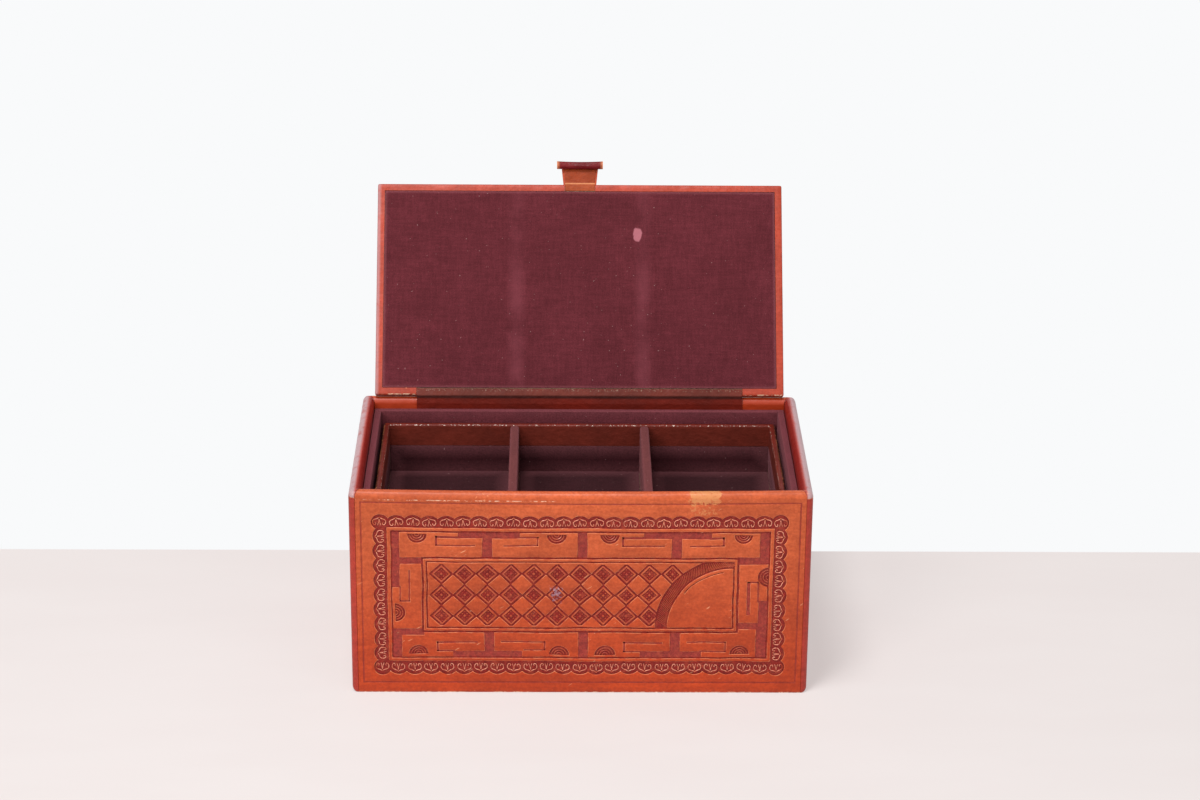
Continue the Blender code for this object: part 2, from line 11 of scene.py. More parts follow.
import bmesh
import bpy
from bpy.props import FloatProperty, FloatVectorProperty, PointerProperty
from mathutils import Matrix, Vector, noise


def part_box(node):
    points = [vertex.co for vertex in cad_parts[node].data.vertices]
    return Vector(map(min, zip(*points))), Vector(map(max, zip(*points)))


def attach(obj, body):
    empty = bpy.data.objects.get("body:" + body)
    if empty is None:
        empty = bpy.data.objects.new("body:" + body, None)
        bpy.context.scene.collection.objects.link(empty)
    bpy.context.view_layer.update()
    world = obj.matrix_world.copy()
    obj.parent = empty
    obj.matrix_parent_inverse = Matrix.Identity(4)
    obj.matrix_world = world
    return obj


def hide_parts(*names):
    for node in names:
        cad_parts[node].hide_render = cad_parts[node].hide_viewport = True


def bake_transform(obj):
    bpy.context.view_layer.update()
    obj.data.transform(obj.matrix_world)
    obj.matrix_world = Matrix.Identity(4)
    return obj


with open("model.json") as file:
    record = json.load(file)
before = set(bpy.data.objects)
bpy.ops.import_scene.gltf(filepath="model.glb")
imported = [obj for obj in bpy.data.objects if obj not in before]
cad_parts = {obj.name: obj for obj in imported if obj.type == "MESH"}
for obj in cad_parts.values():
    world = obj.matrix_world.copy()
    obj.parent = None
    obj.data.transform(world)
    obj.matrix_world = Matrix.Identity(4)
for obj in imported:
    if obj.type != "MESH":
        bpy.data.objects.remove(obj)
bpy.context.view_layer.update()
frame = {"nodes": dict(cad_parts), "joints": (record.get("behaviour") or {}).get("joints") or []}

bl_info = {
    "name": "Tooled Leather Box",
    "version": (1, 0, 0),
    "blender": (4, 5, 0),
    "location": "View3D > Sidebar > Leather Box",
    "description": "Builds a tooled leather keepsake box with a velvet lining and a lift-out tray",
    "category": "Object",
}

MILLIMETRE = 0.001

BOX_LOW = Vector((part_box("left_leather")[0].x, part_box("front_leather")[0].y, 0.0))
BOX_HIGH = Vector((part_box("right_leather")[1].x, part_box("back_leather")[1].y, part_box("front_leather")[1].z))
LID_JOINT = next(joint for joint in frame["joints"] if joint["name"] == "lid_hinge")
LID_AXIS = Vector(LID_JOINT["pos_m"])
LID_OPEN = math.radians(LID_JOINT["range_deg"][1])
LID_TURN = (Matrix.Translation(LID_AXIS) @ Matrix.Rotation(-LID_OPEN, 4, "X")
            @ Matrix.Translation(-LID_AXIS))

# Width of the box's rims, how much lower their shoulders are than the boards under them, and the
# height of the crest along the back rim
RIM_WIDTH = 0.0082
RIM_DROP = 0.0009
BACK_CREST = 0.0002

# Radius of the box's bottom corners, and how far the front and back covers reach over the seams
FOOT_RADIUS = 0.0038
SEAM_REACH = 0.00015

# How far the pile of a pad reaches out over the gap round it, and the spacing of the velvet's points
PILE_REACH = 0.0002
VELVET_CELL = 0.012

# How much thinner the velvet on the side liners is than their solids, which bares the gap round the tray
LINER_SHRINK = 0.0008

# Pull tab, with its curl in degrees
TAB_THICKNESS = 0.0009
TAB_STRAP_WIDTH = 0.0230
TAB_STRAP_END_WIDTH = 0.0258
TAB_CURL_RADIUS = 0.0025
TAB_CURL_SWEEP = 262

# Scalloped border, in millimetres: how far its cusps lie outside the middles of the stamps, and how far
# each scallop swells beyond its cusps, on the sides and round the corners
SCALLOP_CUSP = 2.4
SCALLOP_SWELL = 2.3
CORNER_SWELL = 7.2
ARC_POINTS = 7

# How far the stamps slip and turn, and how high their lines stand above the deep ground
STAMP_SLIP = 0.5
STAMP_TURN = math.radians(9)
STAMP_LIFT = 0.26

# How far the hand-cut lines wander, and how often, in millimetres
TREMBLE_REACH = 0.55
TREMBLE_CELL = 10.0

# Depths as shares of the border's: the ground of the bars, the fine lines of the hooks, the line round
# the margin, the rings of the half suns, the strokes round the disc, the diamonds and their bosses
GROUND_SHARE = 0.74
HOOK_SHARE = 0.58
MARGIN_SHARE = 0.4
RING_SHARE = 0.74
STROKE_SHARE = 0.72
DIAMOND_SHARE = 0.27
BOSS_SHARE = 0.30

# How far the raised parts reach down into the leather under the deep ground
PART_ROOT = 0.1

# Diamonds: distance between their middles, reach of the moats, and how near these come to the edges
LATTICE_STEP = 15.0
MOAT_REACH = 7.95
MOAT_MARGIN = 1.3


def to_linear(code):
    """A colour written as an sRGB hex value, turned to linear RGB."""
    channels = [int(code[place:place + 2], 16) / 255 for place in (0, 2, 4)]
    return tuple(value / 12.92 if value <= 0.04045 else ((value + 0.055) / 1.055) ** 2.4
                 for value in channels)


def colour_property(name, description, code):
    """A colour that the user can change, written as a hex value."""
    return FloatVectorProperty(name=name, description=description, subtype="COLOR", size=3,
                               min=0.0, max=1.0, default=to_linear(code))


class LeatherBoxColours(bpy.types.PropertyGroup):
    """Dyes of the leather and the velvet."""

    upper_leather: colour_property("Upper leather", "Tooled leather near the rim", "C2582E")
    lower_leather: colour_property("Lower leather", "Tooled leather near the foot", "B43C10")
    side_leather: colour_property("Side leather", "Leather of the two ends", "AA3222")
    lid_leather: colour_property("Lid leather", "Tooled leather of the lid", "AC3E28")
    # painted shade: darker leather folded in over the rim, for the shade inside the box
    inner_leather: colour_property("Turned-in leather", "Leather folded in over the rim", "7A160D")
    recess: colour_property("Recess", "Dye that settled in the border's deep ground", "861A11")
    ground: colour_property("Ground", "Dye in the shallower ground of the field", "932F26")
    # pale rubbed leather, also used for painted highlights on crests, creases and the tab's curl
    worn_and_highlight: colour_property("Worn leather", "Rubbed ridges", "E08A5C")
    bare: colour_property("Bare fibre", "Edges rubbed through", "EFC8A8")
    scuff: colour_property("Scuff", "Bare leather where the grain is rubbed away", "CE8450")
    brown_leather: colour_property("Tray leather", "Brown leather of the tray", "69281E")
    hinge_leather: colour_property("Hinge leather", "Brown leather of the hinge", "66291F")
    velvet: colour_property("Velvet", "Pile of the lid and the liner", "5B242B")
    # painted shade: the tray's velvet is darker than the lid's, for the shade inside the tray
    shaded_tray_velvet: colour_property("Tray velvet", "Deeper pile inside the tray", "38151A")
    velvet_worn_and_sheen: colour_property("Worn velvet", "Pile that is pressed or rubbed", "9A5A60")
    board: colour_property("Board", "Pasteboard under the covers", "B9A283")
    floor: colour_property("Floor", "Surface the box stands on", "E9E1DF")


class LeatherBoxSizes(bpy.types.PropertyGroup):
    """Sizes of the tooling and the padding."""

    tooling_depth: FloatProperty(
        name="Tooling depth", description="Depth of the sunk grounds, in millimetres",
        default=0.75, min=0.2, max=0.9)
    tooling_softness: FloatProperty(
        name="Tooling softness", description="Width of the rounded shoulder of each cut, in millimetres",
        default=0.42, min=0.05, max=0.6)
    rim_sag: FloatProperty(
        name="Rim sag", description="How far the front rim hangs at its middle",
        default=0.0013, min=0.0, max=0.003, unit="LENGTH")
    velvet_unevenness: FloatProperty(
        name="Velvet unevenness", description="Height of the lumps under the velvet",
        default=0.00010, min=0.0, max=0.001, unit="LENGTH")


class LeatherBoxStage(bpy.types.PropertyGroup):
    """Camera and the backdrop's edge."""

    camera_place: FloatVectorProperty(
        name="Camera place", description="Where the camera stands", subtype="TRANSLATION", size=3,
        default=(-0.0173, -1.905, 0.9363))
    camera_pitch: FloatProperty(
        name="Camera pitch", description="How far the camera looks down", subtype="ANGLE",
        default=math.radians(21.80))
    camera_yaw: FloatProperty(
        name="Camera yaw", description="How far the camera turns to the left", subtype="ANGLE",
        default=math.radians(-0.91))
    camera_roll: FloatProperty(
        name="Camera roll", description="How far the camera leans", subtype="ANGLE",
        default=math.radians(0.54))
    lens: FloatProperty(
        name="Lens", description="Focal length in millimetres", default=92.52, min=20.0, max=200.0)
    table_edge: FloatProperty(
        name="Pale edge", description="Where the white backdrop takes over from the floor",
        default=0.140, unit="LENGTH")


class LeatherBoxSettings(bpy.types.PropertyGroup):
    """All settings of the box."""

    colours: PointerProperty(type=LeatherBoxColours)
    sizes: PointerProperty(type=LeatherBoxSizes)
    stage: PointerProperty(type=LeatherBoxStage)


def settings():
    """The box's settings in the current scene."""
    return bpy.context.scene.leather_box


# Shader building

def add_node(tree, kind, setup=None, values=None, links=None):
    """A shader node with its own settings, the values on its sockets, and what is linked into it."""
    node = tree.nodes.new(kind)
    for name, value in (setup or {}).items():
        setattr(node, name, value)
    for socket, value in (values or {}).items():
        node.inputs[socket].default_value = value
    for socket, source in (links or {}).items():
        tree.links.new(source, node.inputs[socket])
    return node


class Value:
    """A number in a node tree; sums, differences and products add the nodes that they need."""

    def __init__(self, tree, socket):
        self.tree = tree
        self.socket = socket

    def math(self, operation, other=0.0):
        """This value put together with another, or with a number."""
        node = add_node(self.tree, "ShaderNodeMath", {"operation": operation}, None, {0: self.socket})
        if isinstance(other, Value):
            self.tree.links.new(other.socket, node.inputs[1])
        else:
            node.inputs[1].default_value = other
        return Value(self.tree, node.outputs["Value"])

    def __add__(self, other):
        return self.math("ADD", other)

    def __sub__(self, other):
        return self.math("SUBTRACT", other)

    def __mul__(self, other):
        return self.math("MULTIPLY", other)

    def __abs__(self):
        return self.math("ABSOLUTE")

    def band(self, low, high, out_low=0.0, out_high=1.0):
        """This value mapped from one range to another, smoothly and held at both ends."""
        node = add_node(self.tree, "ShaderNodeMapRange", {"interpolation_type": "SMOOTHSTEP"},
                        {"From Min": low, "From Max": high, "To Min": out_low, "To Max": out_high},
                        {"Value": self.socket})
        return Value(self.tree, node.outputs["Result"])


class Finish:
    """A node material that is being built up: its colour so far, and what can change it.

    A colour is a socket, a linear colour or a hex value.
    """

    def __init__(self, name, colour=None):
        self.material = bpy.data.materials.new(name)
        self.material.use_nodes = True
        self.tree = self.material.node_tree
        self.shader = self.tree.nodes["Principled BSDF"]
        self.place = self.node("TexCoord").outputs["Object"]
        self.colour = colour

    def node(self, kind, setup=None, values=None, links=None):
        """A shader node, with its kind's short name."""
        return add_node(self.tree, "ShaderNode" + kind, setup, values, links)

    def painted(self, name):
        """A number stored on the mesh's points."""
        return Value(self.tree, self.node("Attribute", {"attribute_name": name}).outputs["Fac"])

    def axes(self, place=None):
        """The three parts of a place."""
        node = self.node("SeparateXYZ", links={"Vector": place or self.place})
        return [Value(self.tree, socket) for socket in node.outputs]

    def grain(self, spacing, detail=3.0, roughness=0.55, stretch=None, place=None):
        """Noise whose lumps are about this far apart, in metres."""
        place = place or self.place
        if stretch is not None:
            place = self.node("Mapping", None, {"Scale": stretch}, {"Vector": place}).outputs["Vector"]
        node = self.node("TexNoise", None, {"Scale": 1.0 / spacing, "Detail": detail, "Roughness": roughness},
                         {"Vector": place})
        return Value(self.tree, node.outputs["Fac"])

    def cells(self, spacing, feature="F1"):
        """Distance to the nearest of scattered points that are about this far apart."""
        node = self.node("TexVoronoi", {"feature": feature}, {"Scale": 1 / spacing}, {"Vector": self.place})
        return Value(self.tree, node.outputs["Distance"])

    def blend(self, share, first, second, mode="MIX"):
        """Two colours mixed."""
        node = self.node("Mix", {"data_type": "RGBA", "blend_type": mode})
        if isinstance(share, Value):
            self.tree.links.new(share.socket, node.inputs[0])
        else:
            node.inputs[0].default_value = share
        for socket, source in ((6, first), (7, second)):
            if isinstance(source, bpy.types.NodeSocket):
                self.tree.links.new(source, node.inputs[socket])
            else:
                linear = to_linear(source) if isinstance(source, str) else source
                node.inputs[socket].default_value = (*linear, 1.0)
        return node.outputs[2]

    def lay(self, share, colour):
        """Bring in a colour over what is there."""
        self.colour = self.blend(share, self.colour, colour)

    def mottle(self, source, low, high, dark, light):
        """Darken where a source is low, and lighten where it is high."""
        tone = self.blend(source.band(low, high), dark, light)
        self.colour = self.blend(1.0, self.colour, tone, "MULTIPLY")

    def near_box(self, low, high, edge, wobble):
        """A mask that is 1 inside a box of object coordinates and falls off raggedly at its edge."""
        mask = None
        for axis, start, end in zip(self.axes(), low, high):
            off = abs(axis - (start + end) / 2) + wobble
            half = (end - start) / 2
            inside = off.band(half - edge, half + edge, 1.0, 0.0)
            mask = mask * inside if mask else inside
        return mask

    def done(self, heights, **uniform):
        """Link the colour and the bumps, set plain values on the shader, and give the material.

        Heights are pairs of a source and the size of its bumps in metres.
        """
        self.tree.links.new(self.colour, self.shader.inputs["Base Color"])
        normal = None
        for height, size in heights:
            node = self.node("Bump", None, {"Distance": size, "Strength": 1.0}, {"Height": height.socket})
            if normal is not None:
                self.tree.links.new(normal, node.inputs["Normal"])
            normal = node.outputs["Normal"]
        if normal is not None:
            self.tree.links.new(normal, self.shader.inputs["Normal"])
        for name, value in uniform.items():
            self.shader.inputs[name.replace("_", " ")].default_value = value
        return self.material


def tooled_leather(name, upper, lower, inner, rubbed=None, with_scuff=False, gloss=0.14):
    """Vegetable-tanned calf, antiqued after tooling: dark dye in the recesses, paler ridges, partly rubbed and
    partly painted highlight.
    """
    colours = settings().colours
    calf = Finish(name)
    grain = calf.grain
    depth = calf.painted("tool_depth")
    clouds = grain(0.034, 4.0)
    speckle = grain(0.0019, 3.0, 0.65)
    calf.colour = calf.blend(calf.axes()[2].band(0.004, 0.130), lower, upper)
    calf.mottle(clouds, 0.30, 0.72, (0.86, 0.82, 0.78), (1.06, 1.07, 1.08))
    calf.mottle(speckle, 0.30, 0.70, (0.88, 0.82, 0.76), (1.10, 1.14, 1.18))
    # faint level rubbing, as from a cloth
    calf.mottle(grain(0.0028, 3.0, 0.6, (0.18, 1.0, 1.0)), 0.35, 0.68, (0.92, 0.88, 0.84), (1.06, 1.09, 1.12))
    # a few pale flecks where the grain is nicked
    flecks = grain(0.0020, 2.0, 0.6).band(0.72, 0.78) * grain(0.045, 1.0).band(0.56, 0.66)
    calf.lay(flecks * 0.5, colours.worn_and_highlight)
    # the dye lies in the cuts and thins out over their shoulders; the crests beside the cuts are painted pale,
    # partly rubbed off and partly a painted highlight
    dyed = depth + speckle.band(0.30, 0.70, -0.12, 0.12) + grain(0.016).band(0.34, 0.66, -0.10, 0.10)
    crest_wear_and_highlight = depth.band(0.02, 0.10) * depth.band(0.36, 0.14) * grain(0.005).band(0.38, 0.56)
    # painted shade: the line round the margin is darkened over its shoulders too, and kept free of pale crests
    line = calf.painted("margin_line")
    calf.lay(crest_wear_and_highlight * (line * -1.0 + 1.0) * 0.85, colours.worn_and_highlight)
    settled = dyed.band(0.16, 0.56).math("MAXIMUM", line * depth.band(0.0, 0.16, 0.0, 0.62))
    # and it lies thinner here and there
    thin = grain(0.006, 4.0, 0.65).band(0.44, 0.68, 0.0, 0.5)
    dye = calf.blend(depth.band(GROUND_SHARE, 1.0), colours.ground, colours.recess)
    dye = calf.blend(thin, dye, "A8462E")
    tone = calf.blend(speckle.band(0.32, 0.68), (0.76, 0.73, 0.80), (1.18, 1.22, 1.22))
    calf.lay(settled, calf.blend(1.0, dye, tone, "MULTIPLY"))
    # the stamps' crests are polished pale and painted paler still as a highlight; the glints in the field are
    # painted highlights
    polish_and_highlight = depth.band(0.62, 0.30) * calf.painted("stamped").band(0.5, 0.9)
    polish_and_highlight *= grain(0.0018, 2.0).band(0.38, 0.62, 0.25, 1.0)
    calf.lay(polish_and_highlight, "E89A7E")
    # painted shade: the leather folded in over the rim is painted darker, for the shade inside the box
    calf.lay(calf.painted("turned_in"), inner)
    # the outermost line of each edge is rubbed to the bare, pale fibre
    rub = calf.painted("wear_and_highlight").band(0.50, 0.72) * grain(0.0019, 4.0, 0.7, (0.7, 1.0, 1.0)).band(0.49, 0.57)
    calf.lay(rub * grain(0.040, 1.0).band(0.36, 0.52) * 0.85, rubbed or colours.bare)
    # painted reflection: the outer half of the ends' rims, and the lid's left border, are painted pale, as if
    # they reflected the white backdrop
    calf.lay(calf.painted("painted_sheen") * grain(0.007, 4.0).band(0.20, 0.48) * 0.82, "B2969A")
    if with_scuff:
        # short slanting scratches, a few to a hand's breadth
        slanted = calf.node("Mapping", {"vector_type": "TEXTURE"},
                            {"Rotation": (0.0, -0.55, 0.0), "Scale": (7.0, 1.0, 1.0)},
                            {"Vector": calf.place}).outputs["Vector"]
        scratches = grain(0.0013, 1.0, place=slanted).band(0.73, 0.78) * grain(0.028, 1.0).band(0.50, 0.60)
        calf.lay(scratches * 0.5, "F0B488")
        # marks in the picture's places: low and high corner, width of the edge, grain, and its share
        ragged = grain(0.0030, 5.0, 0.75).band(0.28, 0.72, -0.0021, 0.0021)
        marks = [
            ((0.0706, -0.092, 0.1366), (0.0896, -0.0772, 0.1480), 0.0003, (0.0022, 4.0, 0.7),
             (0.34, 0.52, 0.45, 0.95), 1.0, colours.scuff),
            ((-0.0690, -0.092, 0.1270), (-0.0590, -0.0772, 0.1430), 0.0015, (0.0017, 3.0, 0.7),
             (0.60, 0.66), 0.8, colours.worn_and_highlight),
            ((0.0705, -0.092, 0.1290), (0.0880, -0.0772, 0.1365), 0.0009, (0.0024,),
             (0.46, 0.60), 0.7, colours.scuff),
            ((-0.0188, -0.092, 0.0665), (-0.0125, -0.080, 0.0765), 0.0012, (0.0019,),
             (0.49, 0.60), 0.5, "A79CAE"),
        ]
        for low, high, edge, lumps, limits, share, colour in marks:
            patch = calf.near_box(low, high, edge, ragged) * grain(*lumps).band(*limits)
            calf.lay(patch * share, colour)
    rough = clouds.band(0.30, 0.72, 0.50, 0.38) + settled * 0.14 - polish_and_highlight * 0.26
    calf.tree.links.new(rough.socket, calf.shader.inputs["Roughness"])
    # calf pores are about 0.15 mm apart, too fine to show, so the grain is drawn at 0.9 mm;
    # the matting punch left marks 1.1 mm apart in the sunk grounds
    heights = [(grain(0.012, 2.0), 0.0009), (calf.cells(0.0009, "SMOOTH_F1"), 0.00006),
               (calf.cells(0.0011) * settled, 0.00020)]
    return calf.done(heights, Specular_IOR_Level=0.28, Coat_Weight=gloss, Coat_Roughness=0.30)


def plain_leather(name, colour, wear_and_highlight_share=0.5, roughness=0.42, layers=(), speck=None, shine=0.36):
    """Smooth goatskin: fine grain, uneven dye, and pale rubbing along its edges, which also carries painted
    highlights.

    Layers are pairs of a painted number and the colour that it brings in.
    """
    hide = Finish(name, colour)
    for attribute, layer in layers:
        hide.lay(hide.painted(attribute), layer)
    clouds = hide.grain(0.022, 4.0)
    hide.mottle(clouds, 0.3, 0.72, (0.80, 0.78, 0.76), (1.14, 1.15, 1.16))
    fibres = hide.grain(0.0020, 3.0, 0.65, (0.4, 1.0, 1.0))
    hide.mottle(fibres, 0.3, 0.7, (0.88, 0.84, 0.82), (1.10, 1.12, 1.14))
    # pale along the painted lines: rubbed edges, and on the tab a painted highlight along its crease and curl
    rub = hide.painted("wear_and_highlight").band(0.50, 0.75) * hide.grain(0.0030, 4.0, 0.7).band(0.47, 0.62)
    hide.lay(rub * wear_and_highlight_share, settings().colours.worn_and_highlight)
    if speck is not None:
        hide.lay(hide.painted("speck") * hide.grain(0.0014, 3.0, 0.7).band(0.57, 0.63), speck)
    rough = clouds.band(0.3, 0.7, roughness + 0.10, roughness - 0.04)
    hide.tree.links.new(rough.socket, hide.shader.inputs["Roughness"])
    heights = [(hide.grain(0.006), 0.0005), (hide.cells(0.0010, "SMOOTH_F1"), 0.00010)]
    return hide.done(heights, Specular_IOR_Level=shine)


def velvet_cloth(name, base, streaks=False):
    """Cotton velvet: a short soft pile that catches the light at its edges and marks where pressed."""
    cloth = Finish(name, base)
    clouds = cloth.grain(0.030, 4.0, 0.6)
    # the pile's tufts are 0.3 mm apart, drawn at 0.7 mm so that they show
    pile = cloth.grain(0.0007, 2.0, 0.7)
    crushed = cloth.grain(0.0055, 4.0, 0.65)
    cloth.mottle(clouds, 0.30, 0.70, (0.90, 0.89, 0.89), (1.08, 1.09, 1.09))
    cloth.mottle(pile, 0.25, 0.75, (0.78, 0.76, 0.76), (1.22, 1.22, 1.22))
    cloth.mottle(crushed, 0.35, 0.70, (0.95, 0.94, 0.94), (1.06, 1.06, 1.06))
    # warp and weft show through
    for stretch in ((0.10, 1.0, 1.0), (1.0, 0.12, 0.12)):
        cloth.mottle(cloth.grain(0.0014, 2.0, 0.6, stretch), 0.32, 0.68, (0.93, 0.92, 0.92), (1.07, 1.08, 1.08))
    # specks of lint; and along the edges pale pile, partly worn and partly painted sheen where the pile catches
    # the light
    cloth.lay(cloth.grain(0.0016, 1.0).band(0.76, 0.80) * 0.35, "C9A3A0")
    worn_and_highlight = cloth.painted("wear_and_highlight") * pile.band(0.25, 0.62, 0.5, 1.0)
    cloth.lay(worn_and_highlight * 0.45, settings().colours.velvet_worn_and_sheen)
    if streaks:
        across, along, _ = cloth.axes(cloth.node("UVMap", {"uv_map": "flat"}).outputs["UV"])
        # the tray's dividers press two faint bands into the lid's velvet
        press = abs(abs(across) - 0.0440).band(0.0005, 0.0085, 1.0, 0.0)
        press = press * clouds.band(0.30, 0.60, 0.05, 0.30) * along.band(0.060, 0.110, 1.0, 0.45)
        cloth.lay(press, "8B4650")
        # one pale oval mark near the lid's far edge
        across = (across - 0.0402) * (1 / 0.0029)
        along = (along - 0.1096) * (1 / 0.0048)
        off = across * across + along * along + crushed.band(0.3, 0.7, -0.35, 0.35)
        cloth.lay(off.band(0.65, 1.25, 0.75, 0.0), "B8707A")
    return cloth.done([(crushed, 0.0003), (pile, 0.0003)], Roughness=0.95, Specular_IOR_Level=0.12,
                      Sheen_Weight=0.15, Sheen_Roughness=0.45, Sheen_Tint=(*to_linear("D98C96"), 1.0))


def pasteboard(name):
    """Grey-brown pasteboard: matt, with short fibres lying level."""
    card = Finish(name, settings().colours.board)
    fibres = card.grain(0.0012, 4.0, 0.7, (0.25, 0.25, 1.0))
    card.mottle(fibres, 0.3, 0.7, (0.82, 0.80, 0.78), (1.12, 1.10, 1.08))
    return card.done([(fibres, 0.0002)], Roughness=0.88)


def suede(name):
    """Flesh side of thin leather: matt and fibrous, dusty brown."""
    hide = Finish(name, "5E3526")
    fibres = hide.grain(0.0015, 5.0, 0.75)
    hide.lay(fibres.band(0.3, 0.7), "84503A")
    hide.lay(hide.grain(0.028).band(0.35, 0.7, 0.0, 0.35), "4A2A20")
    return hide.done([(fibres, 0.0004)], Roughness=0.93)


# Mesh building

def to_object(name, bm, *finishes, smooth=50.0):
    """An object made from a bmesh, smooth but for edges sharper than the given angle."""
    mesh = bpy.data.meshes.new(name)
    bm.to_mesh(mesh)
    bm.free()
    # the CAD nodes' own shading no longer fits the new faces
    if "custom_normal" in mesh.attributes:
        mesh.attributes.remove(mesh.attributes["custom_normal"])
    for finish in finishes:
        mesh.materials.append(finish)
    mesh.shade_smooth()
    mesh.set_sharp_from_angle(angle=math.radians(smooth))
    item = bpy.data.objects.new(name, mesh)
    bpy.context.scene.collection.objects.link(item)
    return item


def add_mesh(target, source):
    """Copy one bmesh into another, and free it."""
    mesh = bpy.data.meshes.new("passing")
    source.to_mesh(mesh)
    source.free()
    target.from_mesh(mesh)
    bpy.data.meshes.remove(mesh)


def node_copy(name):
    """A merged copy of a CAD node's mesh, with its flat areas made whole faces again."""
    bm = bmesh.new()
    bm.from_mesh(frame["nodes"][name].data)
    bmesh.ops.remove_doubles(bm, verts=bm.verts, dist=0.00001)
    bmesh.ops.dissolve_limit(bm, angle_limit=math.radians(1.0), verts=bm.verts, edges=bm.edges)
    return bm


def shut_copy(name):
    """A merged copy of a node on the lid, turned back to where it is with the lid shut."""
    bm = node_copy(name)
    bmesh.ops.transform(bm, matrix=LID_TURN.inverted(), verts=bm.verts)
    return bm


def corners_of(bm):
    """The lowest and highest corner of a bmesh."""
    places = [vert.co for vert in bm.verts]
    return (Vector([min(place[axis] for place in places) for axis in range(3)]),
            Vector([max(place[axis] for place in places) for axis in range(3)]))


def block(low, high):
    """A bmesh box between two corners."""
    bm = bmesh.new()
    bmesh.ops.create_cube(bm, size=1.0)
    size = Vector(high) - Vector(low)
    bmesh.ops.scale(bm, vec=size, verts=bm.verts)
    bmesh.ops.translate(bm, vec=(Vector(low) + Vector(high)) / 2, verts=bm.verts)
    return bm


def round_edges(bm, edges, width, segments=2):
    """Round the given edges."""
    bmesh.ops.bevel(bm, geom=edges, offset=width, offset_type="OFFSET", segments=segments,
                    profile=0.5, affect="EDGES", clamp_overlap=False, material=-1)


def ramp(value, low, high):
    """How far a value is on its way from low to high, held at 0 and 1."""
    return min(1.0, max(0.0, (value - low) / (high - low)))


def spread(low, high, count):
    """The places that divide a stretch into this many equal parts."""
    return [low + (high - low) * index / count for index in range(1, count)]


def slice_at(bm, axis, places):
    """Add edge loops where planes square to an axis cross the mesh."""
    normal = [1.0 if index == axis else 0.0 for index in range(3)]
    for place in places:
        bmesh.ops.bisect_plane(bm, geom=bm.verts[:] + bm.edges[:] + bm.faces[:], dist=1e-7,
                               plane_co=[part * place for part in normal], plane_no=normal)


def rectangle(left, low, right, high):
    """The outline of an upright rectangle."""
    return [(left, low), (right, low), (right, high), (left, high)]


def inset(edges, gap):
    """The edges of a rectangle, moved inwards."""
    left, low, right, high = edges
    return left + gap, low + gap, right - gap, high - gap


def lattice(first, count):
    """Places along a row of diamonds."""
    return [first + LATTICE_STEP * index for index in range(count)]


def prisms(outlines, low, high):
    """Prisms on closed outlines, in one bmesh."""
    bm = bmesh.new()
    for outline in outlines:
        face = bm.faces.new([bm.verts.new((u, v, low)) for u, v in outline])
        made = bmesh.ops.extrude_face_region(bm, geom=[face])
        tops = [part for part in made["geom"] if isinstance(part, bmesh.types.BMVert)]
        bmesh.ops.translate(bm, vec=(0, 0, high - low), verts=tops)
    bmesh.ops.recalc_face_normals(bm, faces=bm.faces)
    return bm


def carve(bm, cutter):
    """The first mesh with the second cut away from it."""
    items = []
    for part in (bm, cutter):
        mesh = bpy.data.meshes.new("carving")
        part.to_mesh(mesh)
        part.free()
        item = bpy.data.objects.new("carving", mesh)
        bpy.context.scene.collection.objects.link(item)
        items.append(item)
    modifier = items[0].modifiers.new("carve", "BOOLEAN")
    modifier.object = items[1]
    modifier.operation = "DIFFERENCE"
    modifier.solver = "EXACT"
    modifier.use_self = True
    carved = bmesh.new()
    carved.from_object(items[0], bpy.context.evaluated_depsgraph_get())
    for item in items:
        mesh = item.data
        bpy.data.objects.remove(item)
        bpy.data.meshes.remove(mesh)
    return carved


def soften_level(bm, level, width, segments=2, near=1e-4):
    """Round the shoulders of every flat area at this height."""
    bm.normal_update()
    rims = [edge for edge in bm.edges if len(edge.link_faces) == 2
            and all(abs(vert.co.z - level) < near for vert in edge.verts)
            and edge.calc_face_angle() > 1.0]
    round_edges(bm, rims, width, segments)


def ridges(paths, radius):
    """Rods of four sides along open paths, in one bmesh."""
    curve = bpy.data.curves.new("ridge", "CURVE")
    curve.dimensions = "3D"
    curve.bevel_depth = radius
    curve.bevel_resolution = 0
    curve.use_fill_caps = True
    for path in paths:
        spline = curve.splines.new("POLY")
        spline.points.add(len(path) - 1)
        for point, place in zip(spline.points, path):
            point.co = (*place, 1.0)
    item = bpy.data.objects.new("ridge", curve)
    bpy.context.scene.collection.objects.link(item)
    mesh = bpy.data.meshes.new_from_object(item.evaluated_get(bpy.context.evaluated_depsgraph_get()))
    bm = bmesh.new()
    bm.from_mesh(mesh)
    bmesh.ops.remove_doubles(bm, verts=bm.verts, dist=radius / 100)
    bpy.data.objects.remove(item)
    bpy.data.curves.remove(curve)
    bpy.data.meshes.remove(mesh)
    return bm


def around(centre, radius, degrees):
    """The point of a circle at this angle."""
    turn = math.radians(degrees)
    return centre[0] + radius * math.cos(turn), centre[1] + radius * math.sin(turn)


def arc(centre, radius, start, end, count, *level):
    """Points on part of a circle, between two angles in degrees."""
    return [(*around(centre, radius, start + (end - start) * index / (count - 1)), *level)
            for index in range(count)]


def bulge(start, end, swell, count):
    """Points of an arc from start to end that swells to the left of the way there."""
    start = Vector(start)
    end = Vector(end)
    half = (end - start).length / 2
    radius = (half * half + swell * swell) / (2 * swell)
    side = Vector((start.y - end.y, end.x - start.x)).normalized()
    centre = (start + end) / 2 + side * (swell - radius)
    first = math.atan2(start.y - centre.y, start.x - centre.x)
    sweep = 2 * math.atan2(half, radius - swell)
    return [(centre.x + radius * math.cos(first - sweep * index / count),
             centre.y + radius * math.sin(first - sweep * index / count)) for index in range(count)]


